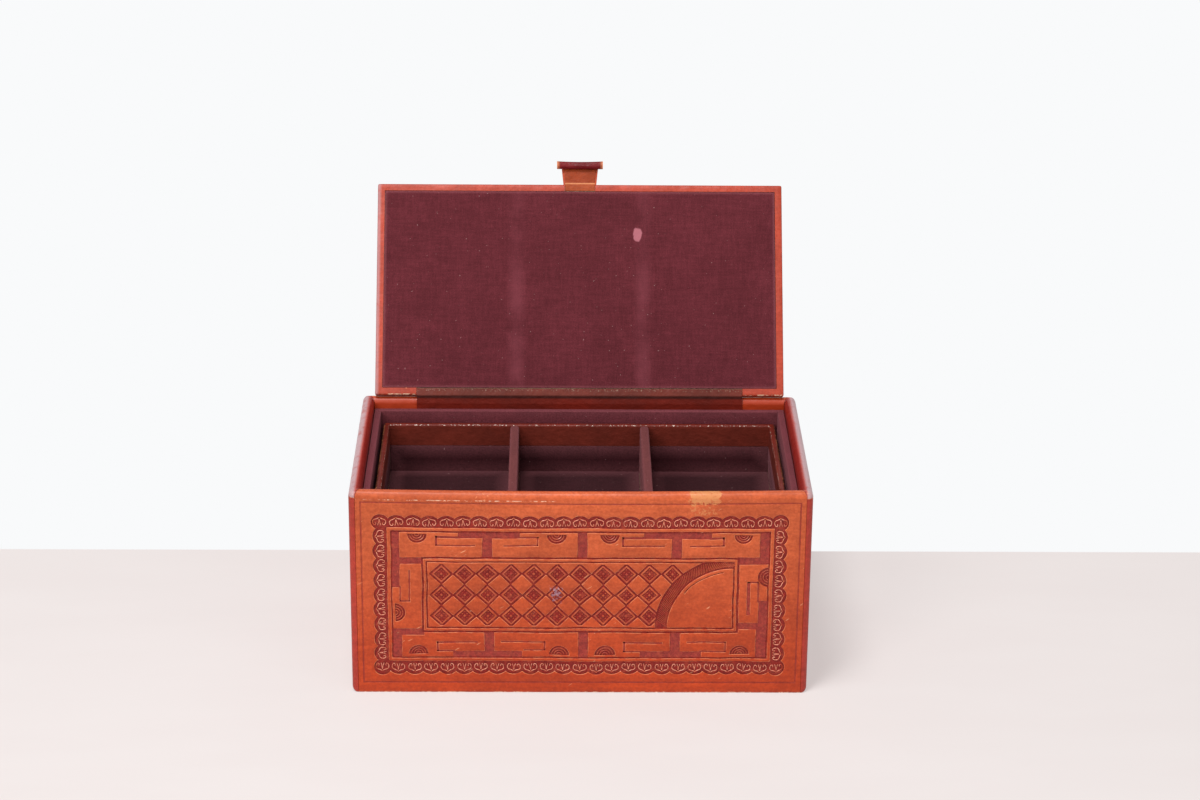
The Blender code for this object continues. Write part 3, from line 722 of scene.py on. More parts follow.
class ScallopBorder:
    """A band of stamps round a rectangle: the stamps' places and the scalloped outline outside them."""

    def __init__(self, left, low, right, high, columns, rows):
        self.step_u = (right - left) / columns
        self.step_v = (high - low) / rows
        self.edges = (left, low, right, high)
        self.columns = columns
        self.rows = rows

    def places(self):
        """Each stamp's centre and the turn that points its crown outwards."""
        left, low, right, high = self.edges
        spots = []
        for index in range(self.columns + 1):
            u = left + index * self.step_u
            spots.append((u, high, 0.0))
            spots.append((u, low, math.pi))
        for index in range(1, self.rows):
            v = low + index * self.step_v
            spots.append((left, v, math.pi / 2))
            spots.append((right, v, -math.pi / 2))
        return spots

    def outline(self, cusp):
        """The closed outline, clockwise from the top left, with the cusps this far outside the centres."""
        left, low, right, high = self.edges
        half_u = self.step_u / 2
        half_v = self.step_v / 2
        cusps = [(left + half_u + index * self.step_u, high + cusp) for index in range(self.columns)]
        cusps += [(right + cusp, high - half_v - index * self.step_v) for index in range(self.rows)]
        cusps += [(right - half_u - index * self.step_u, low - cusp) for index in range(self.columns)]
        cusps += [(left - cusp, low + half_v + index * self.step_v) for index in range(self.rows)]
        points = []
        for index, start in enumerate(cusps):
            end = cusps[(index + 1) % len(cusps)]
            turning = start[0] != end[0] and start[1] != end[1]
            points += bulge(start, end, CORNER_SWELL if turning else SCALLOP_SWELL,
                            2 * ARC_POINTS if turning else ARC_POINTS)
        return points


def scroll_stamp(depth):
    """One border stamp: two volutes that rise to a peak under the crown, with a forked stem between them."""
    volute = [(0.0, 3.0), (-0.9, 2.2), (-1.9, 1.75), (-3.3, 1.35), (-4.2, 0.3), (-4.15, -1.3),
              (-3.5, -2.5), (-2.6, -2.6), (-2.1, -1.9), (-2.4, -1.1)]
    stem = [(-0.1, 1.5), (-0.3, -0.5), (-1.0, -2.9)]
    rods = bmesh.new()
    for line, radius in ((volute, 0.40), (stem, 0.34)):
        add_mesh(rods, ridges([[(side * u, v, STAMP_LIFT - depth) for u, v in line] for side in (1, -1)],
                              radius))
    return rods


def sun_outlines(suns):
    """Half discs: each has a centre, a radius, and the angle in degrees that its round side points to."""
    return [arc(centre, radius, facing - 90, facing + 90, 17) for centre, radius, facing in suns]


def add_sun_rings(target, suns, depth):
    """Add the raised rings inside half discs."""
    add_mesh(target, ridges([arc(centre, radius * share, facing - 84, facing + 84, 11, -depth * RING_SHARE)
                             for centre, radius, facing in suns for share in (0.24, 0.50, 0.76)], 0.42))


def lozenges(centres, reach):
    """Squares on their points."""
    return [[(u - reach, v), (u, v - reach), (u + reach, v), (u, v + reach)] for u, v in centres]


# The front's pattern, in millimetres from the middle of the box's foot
FRONT_SUNK = (-142.5, 7.3, 142.5, 137.4)
FRONT_BORDER = ScallopBorder(-130.1, 18.2, 129.5, 123.4, 24, 10)
FRONT_FRAMES = (((-125.5, 23.0, 125.3, 119.1), (-123.1, 25.2, 122.9, 116.9)),
                ((-102.1, 45.1, 102.0, 96.8), (-100.4, 46.9, 100.3, 95.0)))
FRONT_FIELD = (-122.2, 26.1, 122.0, 115.8)
FRONT_PANEL_HOLE = (-103.3, 43.9, 103.4, 98.0)
FRONT_PANEL = (-99.5, 47.8, 99.4, 94.2)
FRONT_BARS = [
    (-124, 76.3, -117.6, 118), (-119, 93.3, -102, 97.9), (-124, 25, -116.7, 46.5), (-118, 41.9, -102, 46.5),
    (-79.5, 111.9, -39.5, 119), (-63.6, 97, -57.3, 113), (41, 111.7, 85, 119), (59, 97, 65.4, 113),
    (-2, 97, 4.3, 119), (-1.2, 24, 5.1, 45), (-83, 24, -38, 30.2), (-62.5, 29, -56.4, 45),
    (39.5, 24, 79.7, 30.3), (59, 29, 65.1, 45), (116.3, 97, 124, 119), (102, 93.4, 124, 98.4),
    (116.4, 51, 124, 67.2), (103, 46.5, 124, 51.2), (115.4, 24, 124, 47),
]
FRONT_GROOVES = [
    (-94.4, 106.1, -68.1, 106.9), (-94.4, 106.2, -93.2, 113.2), (-94.3, 111.8, -78.5, 113.2),
    (-41, 111.8, -27.2, 112.9), (-28.1, 106.1, -27.3, 112.8), (-50, 106.0, -27.3, 106.8),
    (26.9, 105.9, 28.1, 112.6), (27, 111.4, 42, 113.0), (27, 105.8, 54.4, 106.6),
    (84, 111.3, 93.4, 112.8), (92.3, 106, 93.5, 112.7), (71, 105.9, 93.4, 106.7),
    (-94, 36.3, -67, 37.3), (-93.9, 30.2, -92.8, 37.2), (-93.9, 30.1, -82, 31.0),
    (-52, 36.7, -23, 37.5), (-23.8, 31.0, -22.9, 37.4), (-36.8, 30.9, -23, 31.6),
    (28.2, 35.9, 54, 37.0), (28.3, 29.7, 29.4, 36.9), (28.3, 29.6, 40.5, 30.4),
    (70, 36.8, 95.7, 37.6), (94.9, 30.1, 95.8, 37.5), (78.5, 30.0, 95.7, 30.8),
    (-117.6, 66.2, -116.9, 77), (-117.5, 66.1, -111.0, 66.9), (-111.9, 66.2, -111.1, 88.4),
    (108.9, 79.7, 116.2, 80.6), (108.8, 57.0, 110.8, 80.5), (115.6, 66, 116.4, 80.5),
]
FRONT_SUNS = [
    ((-105.9, 114.4), 6.1, -90), ((-15.6, 114.4), 6.2, -90), ((18.9, 114.3), 6.2, -90),
    ((105.7, 114.4), 6.0, -90), ((-105.9, 28.3), 6.2, 90), ((-13.8, 27.6), 6.5, 90),
    ((16.2, 27.6), 6.6, 90), ((104.6, 28.3), 6.2, 90), ((-120.6, 58.4), 6.3, 0),
    ((122.7, 84.2), 7.0, 180),
]
FRONT_DIAMOND_COLUMNS = [-90.5 + 15.06 * index for index in range(11)]
FRONT_DIAMOND_ROWS = [86.0, 70.9, 55.8]
DISC_CENTRE = (99.4, 47.8)
DISC_RADIUS = 42.6
DISC_ARC_RADIUS = 50.6


def alternate(centres, part):
    """Every other diamond of a lattice, as no two of these touch."""
    first = centres[0]
    return [centre for centre in centres
            if sum(round((centre[axis] - first[axis]) / LATTICE_STEP) for axis in (0, 1)) % 2 == part]


def moat(centre, panel):
    """The outline of the moat round a diamond; a tip too near the panel's edge is cut off."""
    points = []
    edges = inset(panel, MOAT_MARGIN)
    for way_u, way_v in ((-1, 0), (0, -1), (1, 0), (0, 1)):
        limits = edges[:2] if way_u + way_v < 0 else edges[2:]
        room = (limits[0] - centre[0]) * way_u + (limits[1] - centre[1]) * way_v
        over = max(0.0, MOAT_REACH - room)
        tip = MOAT_REACH - over
        for side in (-over, over) if over else (0.0,):
            points.append((centre[0] + way_u * tip - way_v * side, centre[1] + way_v * tip + way_u * side))
    return points


def cut_through(bm, outlines, depth):
    """A part of the relief with holes right through it."""
    return carve(bm, prisms(outlines, -depth - PART_ROOT - 1.0, 1.0))


def raise_part(target, outlines, depth, softness, *cuts, level=0.0, segments=2):
    """Add a part that stands up from under the sunk ground to a level, with soft shoulders.

    Each group of cuts holds outlines of holes that don't touch one another.
    """
    bm = prisms(outlines, -depth - PART_ROOT, level)
    for group in cuts:
        bm = cut_through(bm, group, depth)
    if softness:
        soften_level(bm, level, softness, segments)
    add_mesh(target, bm)


def diamond_panel(target, panel, centres, depth, softness, *beyond):
    """Add a smooth panel with a moat round each diamond, and raised, stippled diamonds in the moats.

    Beyond are groups of outlines that cut off panel and diamonds alike.
    """
    moats = [[moat(centre, panel) for centre in alternate(centres, part)] for part in (0, 1)]
    raise_part(target, [rectangle(*panel)], depth, softness, *moats, *beyond)
    diamonds = bmesh.new()
    raise_part(diamonds, lozenges(centres, 6.35), depth, 0.3, lozenges(centres, 4.6),
               level=-depth * DIAMOND_SHARE)
    dots = [around(centre, 3.35 if turn % 2 else 2.2, 45 * (turn + 1))
            for centre in centres for turn in range(8)]
    for spots, reach, soft in ((centres, 1.15, 0.25), (dots, 0.55, 0.15)):
        raise_part(diamonds, lozenges(spots, reach), depth, soft, level=-depth * BOSS_SHARE, segments=1)
    for group in beyond:
        diamonds = cut_through(diamonds, group, depth)
    add_mesh(target, diamonds)


def border_relief(target, sunk, border, depth, softness):
    """The plain margin with its scalloped opening, and the stamps in the band inside it."""
    scallops = [border.outline(SCALLOP_CUSP)]
    raise_part(target, [rectangle(*inset(sunk, 0.62))], depth, softness, scallops)
    # the fine line round the margin is shallower than the border
    raise_part(target, [rectangle(*inset(sunk, 0.02))], depth, 0.0, scallops, level=-depth * MARGIN_SHARE)
    stamp = scroll_stamp(depth)
    mesh = bpy.data.meshes.new("stamp")
    stamp.to_mesh(mesh)
    stamp.free()
    for u, v, turn in border.places():
        # no two blows of the punch fall quite alike
        slip = [noise.noise(Vector((u * 0.37, v * 0.37, seed))) for seed in (1.5, 4.5, 8.5)]
        place = Matrix.Translation((u + STAMP_SLIP * slip[0], v + STAMP_SLIP * slip[1], 0.0))
        place = place @ Matrix.Rotation(turn + STAMP_TURN * slip[2], 4, "Z")
        mesh.transform(place)
        target.from_mesh(mesh)
        mesh.transform(place.inverted())
    bpy.data.meshes.remove(mesh)


def ground_relief(target, field, deeper, depth):
    """The shallower ground of the field's bars; the outlines of deeper cuts are left out of it."""
    raise_part(target, [rectangle(*field)], depth, 0.0, deeper, level=-depth * GROUND_SHARE)


def fillets(target, frames, depth, softness):
    """Add raised fillets round rectangles."""
    for outer, inner in frames:
        raise_part(target, [rectangle(*outer)], depth, softness, [rectangle(*inner)])


def front_relief(target, depth, softness):
    """The front's whole pattern."""
    hole = [rectangle(*FRONT_PANEL_HOLE)]
    grooves = [rectangle(*groove) for groove in FRONT_GROOVES]
    bars = [rectangle(*bar) for bar in FRONT_BARS]
    suns = sun_outlines(FRONT_SUNS)
    ground_relief(target, FRONT_FIELD, hole + grooves + suns, depth)
    # the fine lines of the hooks are shallower than the bars
    raise_part(target, grooves, depth, 0.0, level=-depth * HOOK_SHARE)
    border_relief(target, FRONT_SUNK, FRONT_BORDER, depth, softness)
    fillets(target, FRONT_FRAMES, depth, softness)
    raise_part(target, [rectangle(*FRONT_FIELD)], depth, softness, hole + bars + grooves + suns)
    add_sun_rings(target, FRONT_SUNS, depth)
    centres = [(u, row) for row, count in zip(FRONT_DIAMOND_ROWS, (11, 10, 10))
               for u in FRONT_DIAMOND_COLUMNS[:count]]
    disc = arc(DISC_CENTRE, DISC_ARC_RADIUS, 0, 360, 97)[:-1]
    diamond_panel(target, FRONT_PANEL, centres, depth, softness, [disc])
    line = arc(DISC_CENTRE, DISC_RADIUS - 2.2, 99, 142, 25)
    line += reversed(arc(DISC_CENTRE, DISC_RADIUS - 2.6, 99, 142, 25))
    quarter = [DISC_CENTRE, *arc(DISC_CENTRE, DISC_RADIUS, 90, 180, 41)]
    raise_part(target, [quarter], depth, softness, [line])
    # the band round the quarter disc is chased with short slanting strokes
    strokes = []
    for index in range(58):
        turn = 91.5 + index * 1.52
        lean = turn - 4
        top = min(DISC_ARC_RADIUS - 1.2,
                  (94.0 - DISC_CENTRE[1]) / max(math.sin(math.radians(lean)), 0.1))
        if top >= DISC_RADIUS + 1.6:
            strokes.append([(*around(DISC_CENTRE, reach, angle), -depth * STROKE_SHARE)
                            for reach, angle in ((DISC_RADIUS + 1.0, turn), (top, lean))])
    add_mesh(target, ridges(strokes, 0.36))


def panel_pattern(sunk, border, frames, panel, columns, rows):
    """A plainer pattern for the faces the picture doesn't show: border, fillets and a panel of diamonds."""
    def relief(target, depth, softness):
        border_relief(target, sunk, border, depth, softness)
        fillets(target, frames, depth, softness)
        left, low, right, high = frames[1][0]
        outer = frames[0][1]
        whole = inset(outer, 0.9)
        hole = rectangle(*inset(frames[1][0], -1.0))
        middle_u = (left + right) / 2
        middle_v = (low + high) / 2
        bars = [rectangle(middle_u - 3, high - 2, middle_u + 3, outer[3] + 1),
                rectangle(middle_u - 3, outer[1] - 1, middle_u + 3, low + 2),
                rectangle(outer[0] - 1, middle_v - 3, left + 2, middle_v + 3),
                rectangle(right - 2, middle_v - 3, outer[2] + 1, middle_v + 3)]
        suns = []
        for u in (middle_u - (right - left) / 2, middle_u + (right - left) / 2):
            suns += [((u, outer[3] - 2.6), 6.0, -90), ((u, outer[1] + 2.6), 6.0, 90)]
        ground_relief(target, whole, [hole, *sun_outlines(suns)], depth)
        raise_part(target, [rectangle(*whole)], depth, softness, [hole, *bars, *sun_outlines(suns)])
        add_sun_rings(target, suns, depth)
        diamond_panel(target, panel, [(u, row) for row in rows for u in columns], depth, softness)

    return sunk, border, frames[0][0], relief


def tremble(bm, sunk, depth):
    """Let the cuts wander a little, as lines cut by hand do."""
    left, low, right, high = sunk
    bmesh.ops.triangulate(bm, faces=[face for face in bm.faces if len(face.verts) > 4])
    for axis, first, last in ((0, left, right), (1, low, high)):
        slice_at(bm, axis, spread(first, last, round((last - first) / TREMBLE_CELL)))
    for vert in bm.verts:
        edge = min(vert.co.x - left, right - vert.co.x, vert.co.y - low, high - vert.co.y)
        if edge > 0 and -depth - 0.2 < vert.co.z < 0.2:
            reach = TREMBLE_REACH * min(1.0, edge / 4)
            spot = Vector((vert.co.x * 0.07, vert.co.y * 0.07, 0.0))
            vert.co.x += reach * noise.noise(spot)
            vert.co.y += reach * noise.noise(spot + Vector((0.0, 0.0, 7.3)))


def paint(bm, name, value):
    """Store a number on every point, worked out from its place."""
    layer = bm.verts.layers.float.get(name) or bm.verts.layers.float.new(name)
    for vert in bm.verts:
        vert[layer] = value(vert.co)


def edge_nearness(low, high, reach):
    """A function that gives how near a point lies to the nearest edge of a box, from 0 to 1."""
    def near(place):
        gaps = sorted(min(abs(place[axis] - low[axis]), abs(high[axis] - place[axis]))
                      for axis in range(3))
        return max(0.0, 1.0 - gaps[1] / reach)
    return near


def within(place, edges):
    """Whether a point lies inside a rectangle."""
    return edges[0] < place.x < edges[2] and edges[1] < place.y < edges[3]


def tooled_cover(bm, face, pattern, glints=()):
    """Sink a pattern's rectangle into a cover and set its relief in it.

    The face matrix takes u, v and w in metres to the cover's own frame. The pattern holds the sunk
    rectangle, the border of stamps, the fillet inside it and the function that adds the relief.
    The glints, painted highlights on crests in the field, are in millimetres, as the pattern is.
    """
    sunk, border, fillet, relief = pattern
    sizes = settings().sizes
    depth = sizes.tooling_depth
    into = Matrix.Scale(1 / MILLIMETRE, 4) @ face.inverted()
    bmesh.ops.transform(bm, matrix=into, verts=bm.verts)
    bm = carve(bm, prisms([rectangle(*sunk)], -depth, 1.0))
    soften_level(bm, 0.0, sizes.tooling_softness * 0.7, near=1e-3)
    relief(bm, depth, sizes.tooling_softness)
    tremble(bm, sunk, depth)
    left, low, right, high = sunk
    cut_area = inset(sunk, -1)
    stamp_area = inset(border.edges, -2.6)
    field = inset(fillet, -0.1)

    def sunk_share(place):
        if not within(place, cut_area) or place.z < -depth - 0.3:
            return 0.0
        return ramp(-place.z, 0.0, depth)

    # 1 in the band of stamps, whose crests are painted pale; inside the field, painted highlights round the
    # glints
    def stamp_share(place):
        if place.z <= -depth * 0.8 or not within(place, stamp_area):
            return 0.0
        if not within(place, field):
            return 1.0
        return max((1.2 - math.hypot(place.x - u, place.y - v) / 3.0 for u, v in glints), default=0.0)

    def margin_share(place):
        gap = min(abs(place.x - left), abs(right - place.x), abs(place.y - low), abs(high - place.y))
        return 1.0 if gap < 1.1 and place.z > -depth - 0.3 else 0.0

    paint(bm, "tool_depth", sunk_share)
    paint(bm, "margin_line", margin_share)
    paint(bm, "stamped", stamp_share)
    bmesh.ops.transform(bm, matrix=into.inverted(), verts=bm.verts)
    return bm


def face_matrix(origin, right, up):
    """The matrix from u, v and w to the frame, for a face with this origin and these directions."""
    across = Vector(right)
    upward = Vector(up)
    turn = Matrix((across, upward, across.cross(upward))).transposed().to_4x4()
    return Matrix.Translation(origin) @ turn


def finish_piece(item, body, node):
    """Let a piece move with a body, and stand for a CAD node, which is hidden."""
    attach(item, body)
    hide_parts(node)
    return item


def box_cover(name, node, face, pattern, material, slot, sag=0.0, glints=()):
    """A wrapped cover panel of the box with its tooling."""
    bm = node_copy(node)
    # edge loops where the rims are rounded and where the colours change
    loops = {0: [0.024 * step for step in range(-5, 6)], 1: [],
             2: [0.0033, 0.0700, 0.1000, 0.1150, 0.1300, 0.1386, 0.1394, 0.1402]}
    for side in (-1, 1):
        loops[1] += [side * (BOX_HIGH.y - inward) for inward in (0.0034, 0.0044, 0.0054, 0.0063)]
        loops[0] += [side * (BOX_HIGH.x - inward)
                     for inward in (0.0034, 0.0048, 0.0054, 0.0063, 0.0003, 0.0008, 0.0016, 0.0025)]
    for axis, places in loops.items():
        slice_at(bm, axis, places)
    bm = tooled_cover(bm, face, pattern, glints)

    at_back = node == "back_leather"
    closing = at_back or node == "front_leather"
    middle = RIM_WIDTH / 2
    outer_edge = edge_nearness(BOX_LOW, BOX_HIGH, 0.0030)

    def across_rim(place):
        return min(BOX_HIGH.x - abs(place.x), BOX_HIGH.y - abs(place.y)) - middle

    # painted shade: the leather folded in over the rim is painted darker towards the inside of the box, where
    # shade falls
    def folded_in(place):
        return ramp(across_rim(place), 0.0004, 0.0018) if place.z > 0.1 else 0.0

    def rubbed(place):
        fold = 0.0
        if sag and place.y < BOX_LOW.y + 0.0005 and place.x < -0.02:
            fold = 0.9 - abs(place.z - BOX_HIGH.z + 0.0046) / 0.0016
        if place.z < BOX_HIGH.z - 0.004:
            return max(outer_edge(place) * (0.8 if place.z < 0.02 else 1.0), fold)
        ridge = 0.0 if sag or at_back else 0.68 - abs(across_rim(place) - 0.0003) / 0.0022
        at_corner = abs(place.x) > BOX_HIGH.x - middle and abs(place.y) > BOX_HIGH.y - middle
        return max(outer_edge(place) * (0.6 if sag else 1.0), ridge, 0.75 if at_corner else 0.0)

    # painted reflection: how far a point lies on the outer half of an end's rim, which is painted pale like the
    # backdrop's reflection
    def sheen_share(place):
        outward = abs(place.x) - BOX_HIGH.x + middle
        return ramp(outward, -0.0004, 0.0008) if place.z > BOX_HIGH.z - 0.0032 else 0.0

    paint(bm, "wear_and_highlight", rubbed)
    # painted shade on the folded-in leather, and on the ends painted reflection on the rims' outer half
    paint(bm, "turned_in", folded_in)
    if slot == "edge_leather":
        paint(bm, "painted_sheen", sheen_share)
    seam = corners_of(bm)[1].x - 0.0001
    for vert in bm.verts:
        spot = vert.co
        # the rims are rounder than their boards, and the back one has a crest
        off = abs(across_rim(spot))
        up = ramp(spot.z - BOX_HIGH.z, -0.0075, -0.0010)
        spot.z -= RIM_DROP * up * min(1.0, off / middle) ** 2.4
        if at_back and spot.z > BOX_HIGH.z - 0.001:
            spot.z += BACK_CREST * (1.0 - min(1.0, off / 0.0025))
        if sag:
            up = ramp(spot.z, 0.095, 0.144)
            spot.z -= sag * (1 - min(1.0, abs(spot.x) / 0.146) ** 2) * up * up * (3 - 2 * up)
        inward = max(0.0, BOX_HIGH.x - abs(spot.x))
        if inward < FOOT_RADIUS and spot.z < FOOT_RADIUS:
            lift = FOOT_RADIUS - math.sqrt(FOOT_RADIUS ** 2 - (FOOT_RADIUS - inward) ** 2)
            spot.z += lift * (1.0 - spot.z / FOOT_RADIUS)
        # the panels meet closely at the upright seams
        if closing and abs(spot.x) > seam:
            spot.x += math.copysign(SEAM_REACH, spot.x)
    return finish_piece(to_object(name, bm, material), "box", node)


def velvet_block(node, corners, rounding, body, material, seed=0.0, wear_and_highlight=0.0016, crown=0.0, pad=False,
                 turn=None, crisp=False, name=None):
    """A board wrapped in velvet: rounded, slightly crowned and uneven.

    On a pad the pile closes the gaps round it. Crisp keeps the pale edge, worn pile with painted sheen, to a line
    along the edges.
    """
    pile = Vector((PILE_REACH, PILE_REACH, 0.0)) if pad else Vector()
    low = corners[0] - pile
    high = corners[1] + pile
    size = high - low
    bm = block(low, high)
    round_edges(bm, list(bm.edges), rounding, 3)
    for axis in range(3):
        slice_at(bm, axis, spread(low[axis], high[axis], max(1, round(size[axis] / VELVET_CELL))))
        if crisp and size[axis] > 4 * wear_and_highlight:
            slice_at(bm, axis, (low[axis] + wear_and_highlight, high[axis] - wear_and_highlight))
    uneven = settings().sizes.velvet_unevenness
    bm.normal_update()
    for vert in bm.verts:
        share = [1 - abs(2 * (vert.co[axis] - low[axis]) / size[axis] - 1) ** 4 for axis in range(3)]
        lump = noise.noise(Vector((vert.co.x + seed, vert.co.y, vert.co.z)) * 55.0)
        rise = crown * share[0] * share[1] if vert.normal.z > 0.9 else 0.0
        vert.co += vert.normal * (lump * uneven - uneven * 0.5 + rise)
    paint(bm, "wear_and_highlight", edge_nearness(low, high, wear_and_highlight))
    if turn is not None:
        bmesh.ops.transform(bm, matrix=turn, verts=bm.verts)
    item = finish_piece(to_object(name or f"{node}_velvet", bm, material), body, node)
    return item


def ribbon(rows, columns, thickness):
    """A bent leather strip from rows of half width, y and z along its middle, given its thickness."""
    bm = bmesh.new()
    bmesh.ops.create_grid(bm, x_segments=columns, y_segments=len(rows) - 1, size=1.0)
    ordered = sorted(bm.verts, key=lambda vert: (round(vert.co.y, 5), vert.co.x))
    for index, (half, y, z) in enumerate(rows):
        for step in range(columns + 1):
            ordered[index * (columns + 1) + step].co = (half * (2 * step / columns - 1), y, z)
    bm.normal_update()
    for vert in bm.verts:
        vert.co -= vert.normal * thickness / 2
    bmesh.ops.solidify(bm, geom=bm.faces[:], thickness=-thickness)
    bmesh.ops.recalc_face_normals(bm, faces=bm.faces)
    return bm


def seen_plain(tree):
    """1 for a ray straight from the camera, or by way of a mirror or glass, and 0 for the others."""
    rays = add_node(tree, "ShaderNodeLightPath").outputs
    seen = Value(tree, rays["Is Camera Ray"]).math("MAXIMUM", Value(tree, rays["Is Glossy Ray"]))
    return seen.math("MAXIMUM", Value(tree, rays["Is Transmission Ray"]))


def stand(name, data, place):
    """Put a lamp or a camera on the stage."""
    item = bpy.data.objects.new(name, data)
    item.matrix_world = place
    bpy.context.scene.collection.objects.link(item)
    return item


class LEATHERBOX_OT_stage(bpy.types.Operator):
    """Set up the pale floor, the soft light and the camera"""

    bl_idname = "leather_box.stage"
    bl_label = "Stage"

    def execute(self, context):
        stage = settings().stage
        floor = settings().colours.floor
        bm = bmesh.new()
        bmesh.ops.create_circle(bm, cap_ends=True, segments=96, radius=9.0)
        paint = Finish("painted_floor_and_backdrop")
        far = paint.axes()[1].band(stage.table_edge - 0.0008, stage.table_edge + 0.0008)
        streaks = paint.grain(0.05, 3.0, 0.5, (0.3, 1.0, 1.0)).band(0.3, 0.7)
        paint.colour = paint.blend(far, paint.blend(streaks, floor, "E6DDDB"), "F7F7F8")
        # the backdrop shows plain white to the camera and in reflections, and part of the near
        # floor shows its plain colour, which keeps its shadow soft
        glow = paint.node("Emission", None, {"Strength": 1.0}, {"Color": paint.blend(far, floor, "F9FAFB")})
        share = far.band(0.0, 1.0, 0.6, 1.0) * seen_plain(paint.tree)
        mix = paint.node("MixShader", None, None, {0: share.socket, 1: paint.shader.outputs["BSDF"],
                                                   2: glow.outputs["Emission"]})
        paint.tree.links.new(mix.outputs["Shader"], paint.tree.nodes["Material Output"].inputs["Surface"])
        to_object("floor", bm, paint.done([], Roughness=0.75, Specular_IOR_Level=0.2))

        world = bpy.data.worlds.new("studio")
        context.scene.world = world
        world.use_nodes = True
        back = world.node_tree.nodes["Background"]
        back.inputs["Color"].default_value = (*to_linear("FAFBFC"), 1.0)
        strength = seen_plain(world.node_tree).band(0.0, 1.0, 0.38, 1.0)
        world.node_tree.links.new(strength.socket, back.inputs["Strength"])

        # place, size in metres and power in watts
        lamps = {"key_light": ((-1.1, -1.8, 1.5), 1.0, 24.0), "top_light": ((-0.3, -0.5, 2.0), 0.6, 27.0),
                 "fill_light": ((1.6, -1.5, 0.9), 1.6, 7.0)}
        for name, (spot, size, power) in lamps.items():
            lamp = bpy.data.lights.new(name, "AREA")
            lamp.shape = "DISK"
            lamp.size = size
            lamp.energy = power
            aim = Vector((0.0, 0.0, 0.12)) - Vector(spot)
            stand(name, lamp, Matrix.Translation(spot) @ aim.to_track_quat("-Z", "Y").to_matrix().to_4x4())

        camera = bpy.data.cameras.new("camera")
        camera.sensor_width = 36.0
        camera.lens = stage.lens
        turn = (Matrix.Rotation(stage.camera_yaw, 4, "Z")
                @ Matrix.Rotation(math.pi / 2 - stage.camera_pitch, 4, "X")
                @ Matrix.Rotation(stage.camera_roll, 4, "Z"))
        context.scene.camera = stand("camera", camera, Matrix.Translation(stage.camera_place) @ turn)
        context.scene.view_settings.view_transform = "Standard"
        return {"FINISHED"}


class LEATHERBOX_OT_front(bpy.types.Operator):
    """Make the front cover with its tooled pattern"""

    bl_idname = "leather_box.front"
    bl_label = "Front cover"

    def execute(self, context):
        colours = settings().colours
        finish = tooled_leather("tooled_calf_front", colours.upper_leather, colours.lower_leather,
                                colours.inner_leather, with_scuff=True, gloss=0.08)
        pattern = (FRONT_SUNK, FRONT_BORDER, FRONT_FRAMES[0][0], front_relief)
        # painted highlights: a glint on the lower right of each top half sun
        glints = [(centre[0] + 2.4, centre[1] - 2.6) for centre, _, facing in FRONT_SUNS if facing == -90]
        face = face_matrix((0.0, BOX_LOW.y, 0.0), (1, 0, 0), (0, 0, 1))
        box_cover("front_cover", "front_leather", face, pattern, finish, "tooled_leather",
                  settings().sizes.rim_sag, glints)
        return {"FINISHED"}


class LEATHERBOX_OT_back(bpy.types.Operator):
    """Make the back cover with its tooled pattern"""

    bl_idname = "leather_box.back"
    bl_label = "Back cover"

    def execute(self, context):
        colours = settings().colours
        # the back's folded-in leather is painted darker, as painted shade under the lid
        finish = tooled_leather("tooled_calf_back", colours.upper_leather, colours.lower_leather, "A83616")
        pattern = panel_pattern(FRONT_SUNK, FRONT_BORDER, FRONT_FRAMES, (-99.4, 47.9, 99.3, 94.0),
                                lattice(-82.5, 12), FRONT_DIAMOND_ROWS)
        face = face_matrix((0.0, BOX_HIGH.y, 0.0), (-1, 0, 0), (0, 0, 1))
        box_cover("back_cover", "back_leather", face, pattern, finish, "tooled_leather")
        return {"FINISHED"}


class LEATHERBOX_OT_ends(bpy.types.Operator):
    """Make the covers of the two ends with their tooled patterns"""

    bl_idname = "leather_box.ends"
    bl_label = "End covers"

    def execute(self, context):
        colours = settings().colours
        finish = tooled_leather("tooled_calf_ends", colours.side_leather, colours.side_leather,
                                colours.inner_leather, "D97C46", gloss=0.2)
        frames = (((-60.2, 23.2, 60.2, 119.8), (-58.5, 25.0, 58.5, 118.0)),
                  ((-39.3, 45.1, 39.3, 96.8), (-37.6, 46.9, 37.6, 95.0)))
        pattern = panel_pattern((-77.5, 7.3, 77.5, 137.4), ScallopBorder(-63.6, 18.2, 63.6, 124.3, 12, 10),
                                frames, (-36.7, 47.9, 36.7, 94.0), lattice(-30.0, 5), FRONT_DIAMOND_ROWS)
        for side, name in ((-1, "left"), (1, "right")):
            face = face_matrix((side * BOX_HIGH.x, 0.0, 0.0), (0, side, 0), (0, 0, 1))
            box_cover(f"{name}_cover", f"{name}_leather", face, pattern, finish, "edge_leather")
        return {"FINISHED"}


class LEATHERBOX_OT_base(bpy.types.Operator):
    """Finish the underside and the hidden boards"""

    bl_idname = "leather_box.base"
    bl_label = "Underside and boards"

    def execute(self, context):
        sole = suede("split_leather_underside")
        card = pasteboard("pasteboard")
        for name, item in frame["nodes"].items():
            if name.endswith("_board") or name in ("base_leather", "tray_underside"):
                item.data.materials.clear()
                item.data.materials.append(card if name.endswith("_board") else sole)
        return {"FINISHED"}


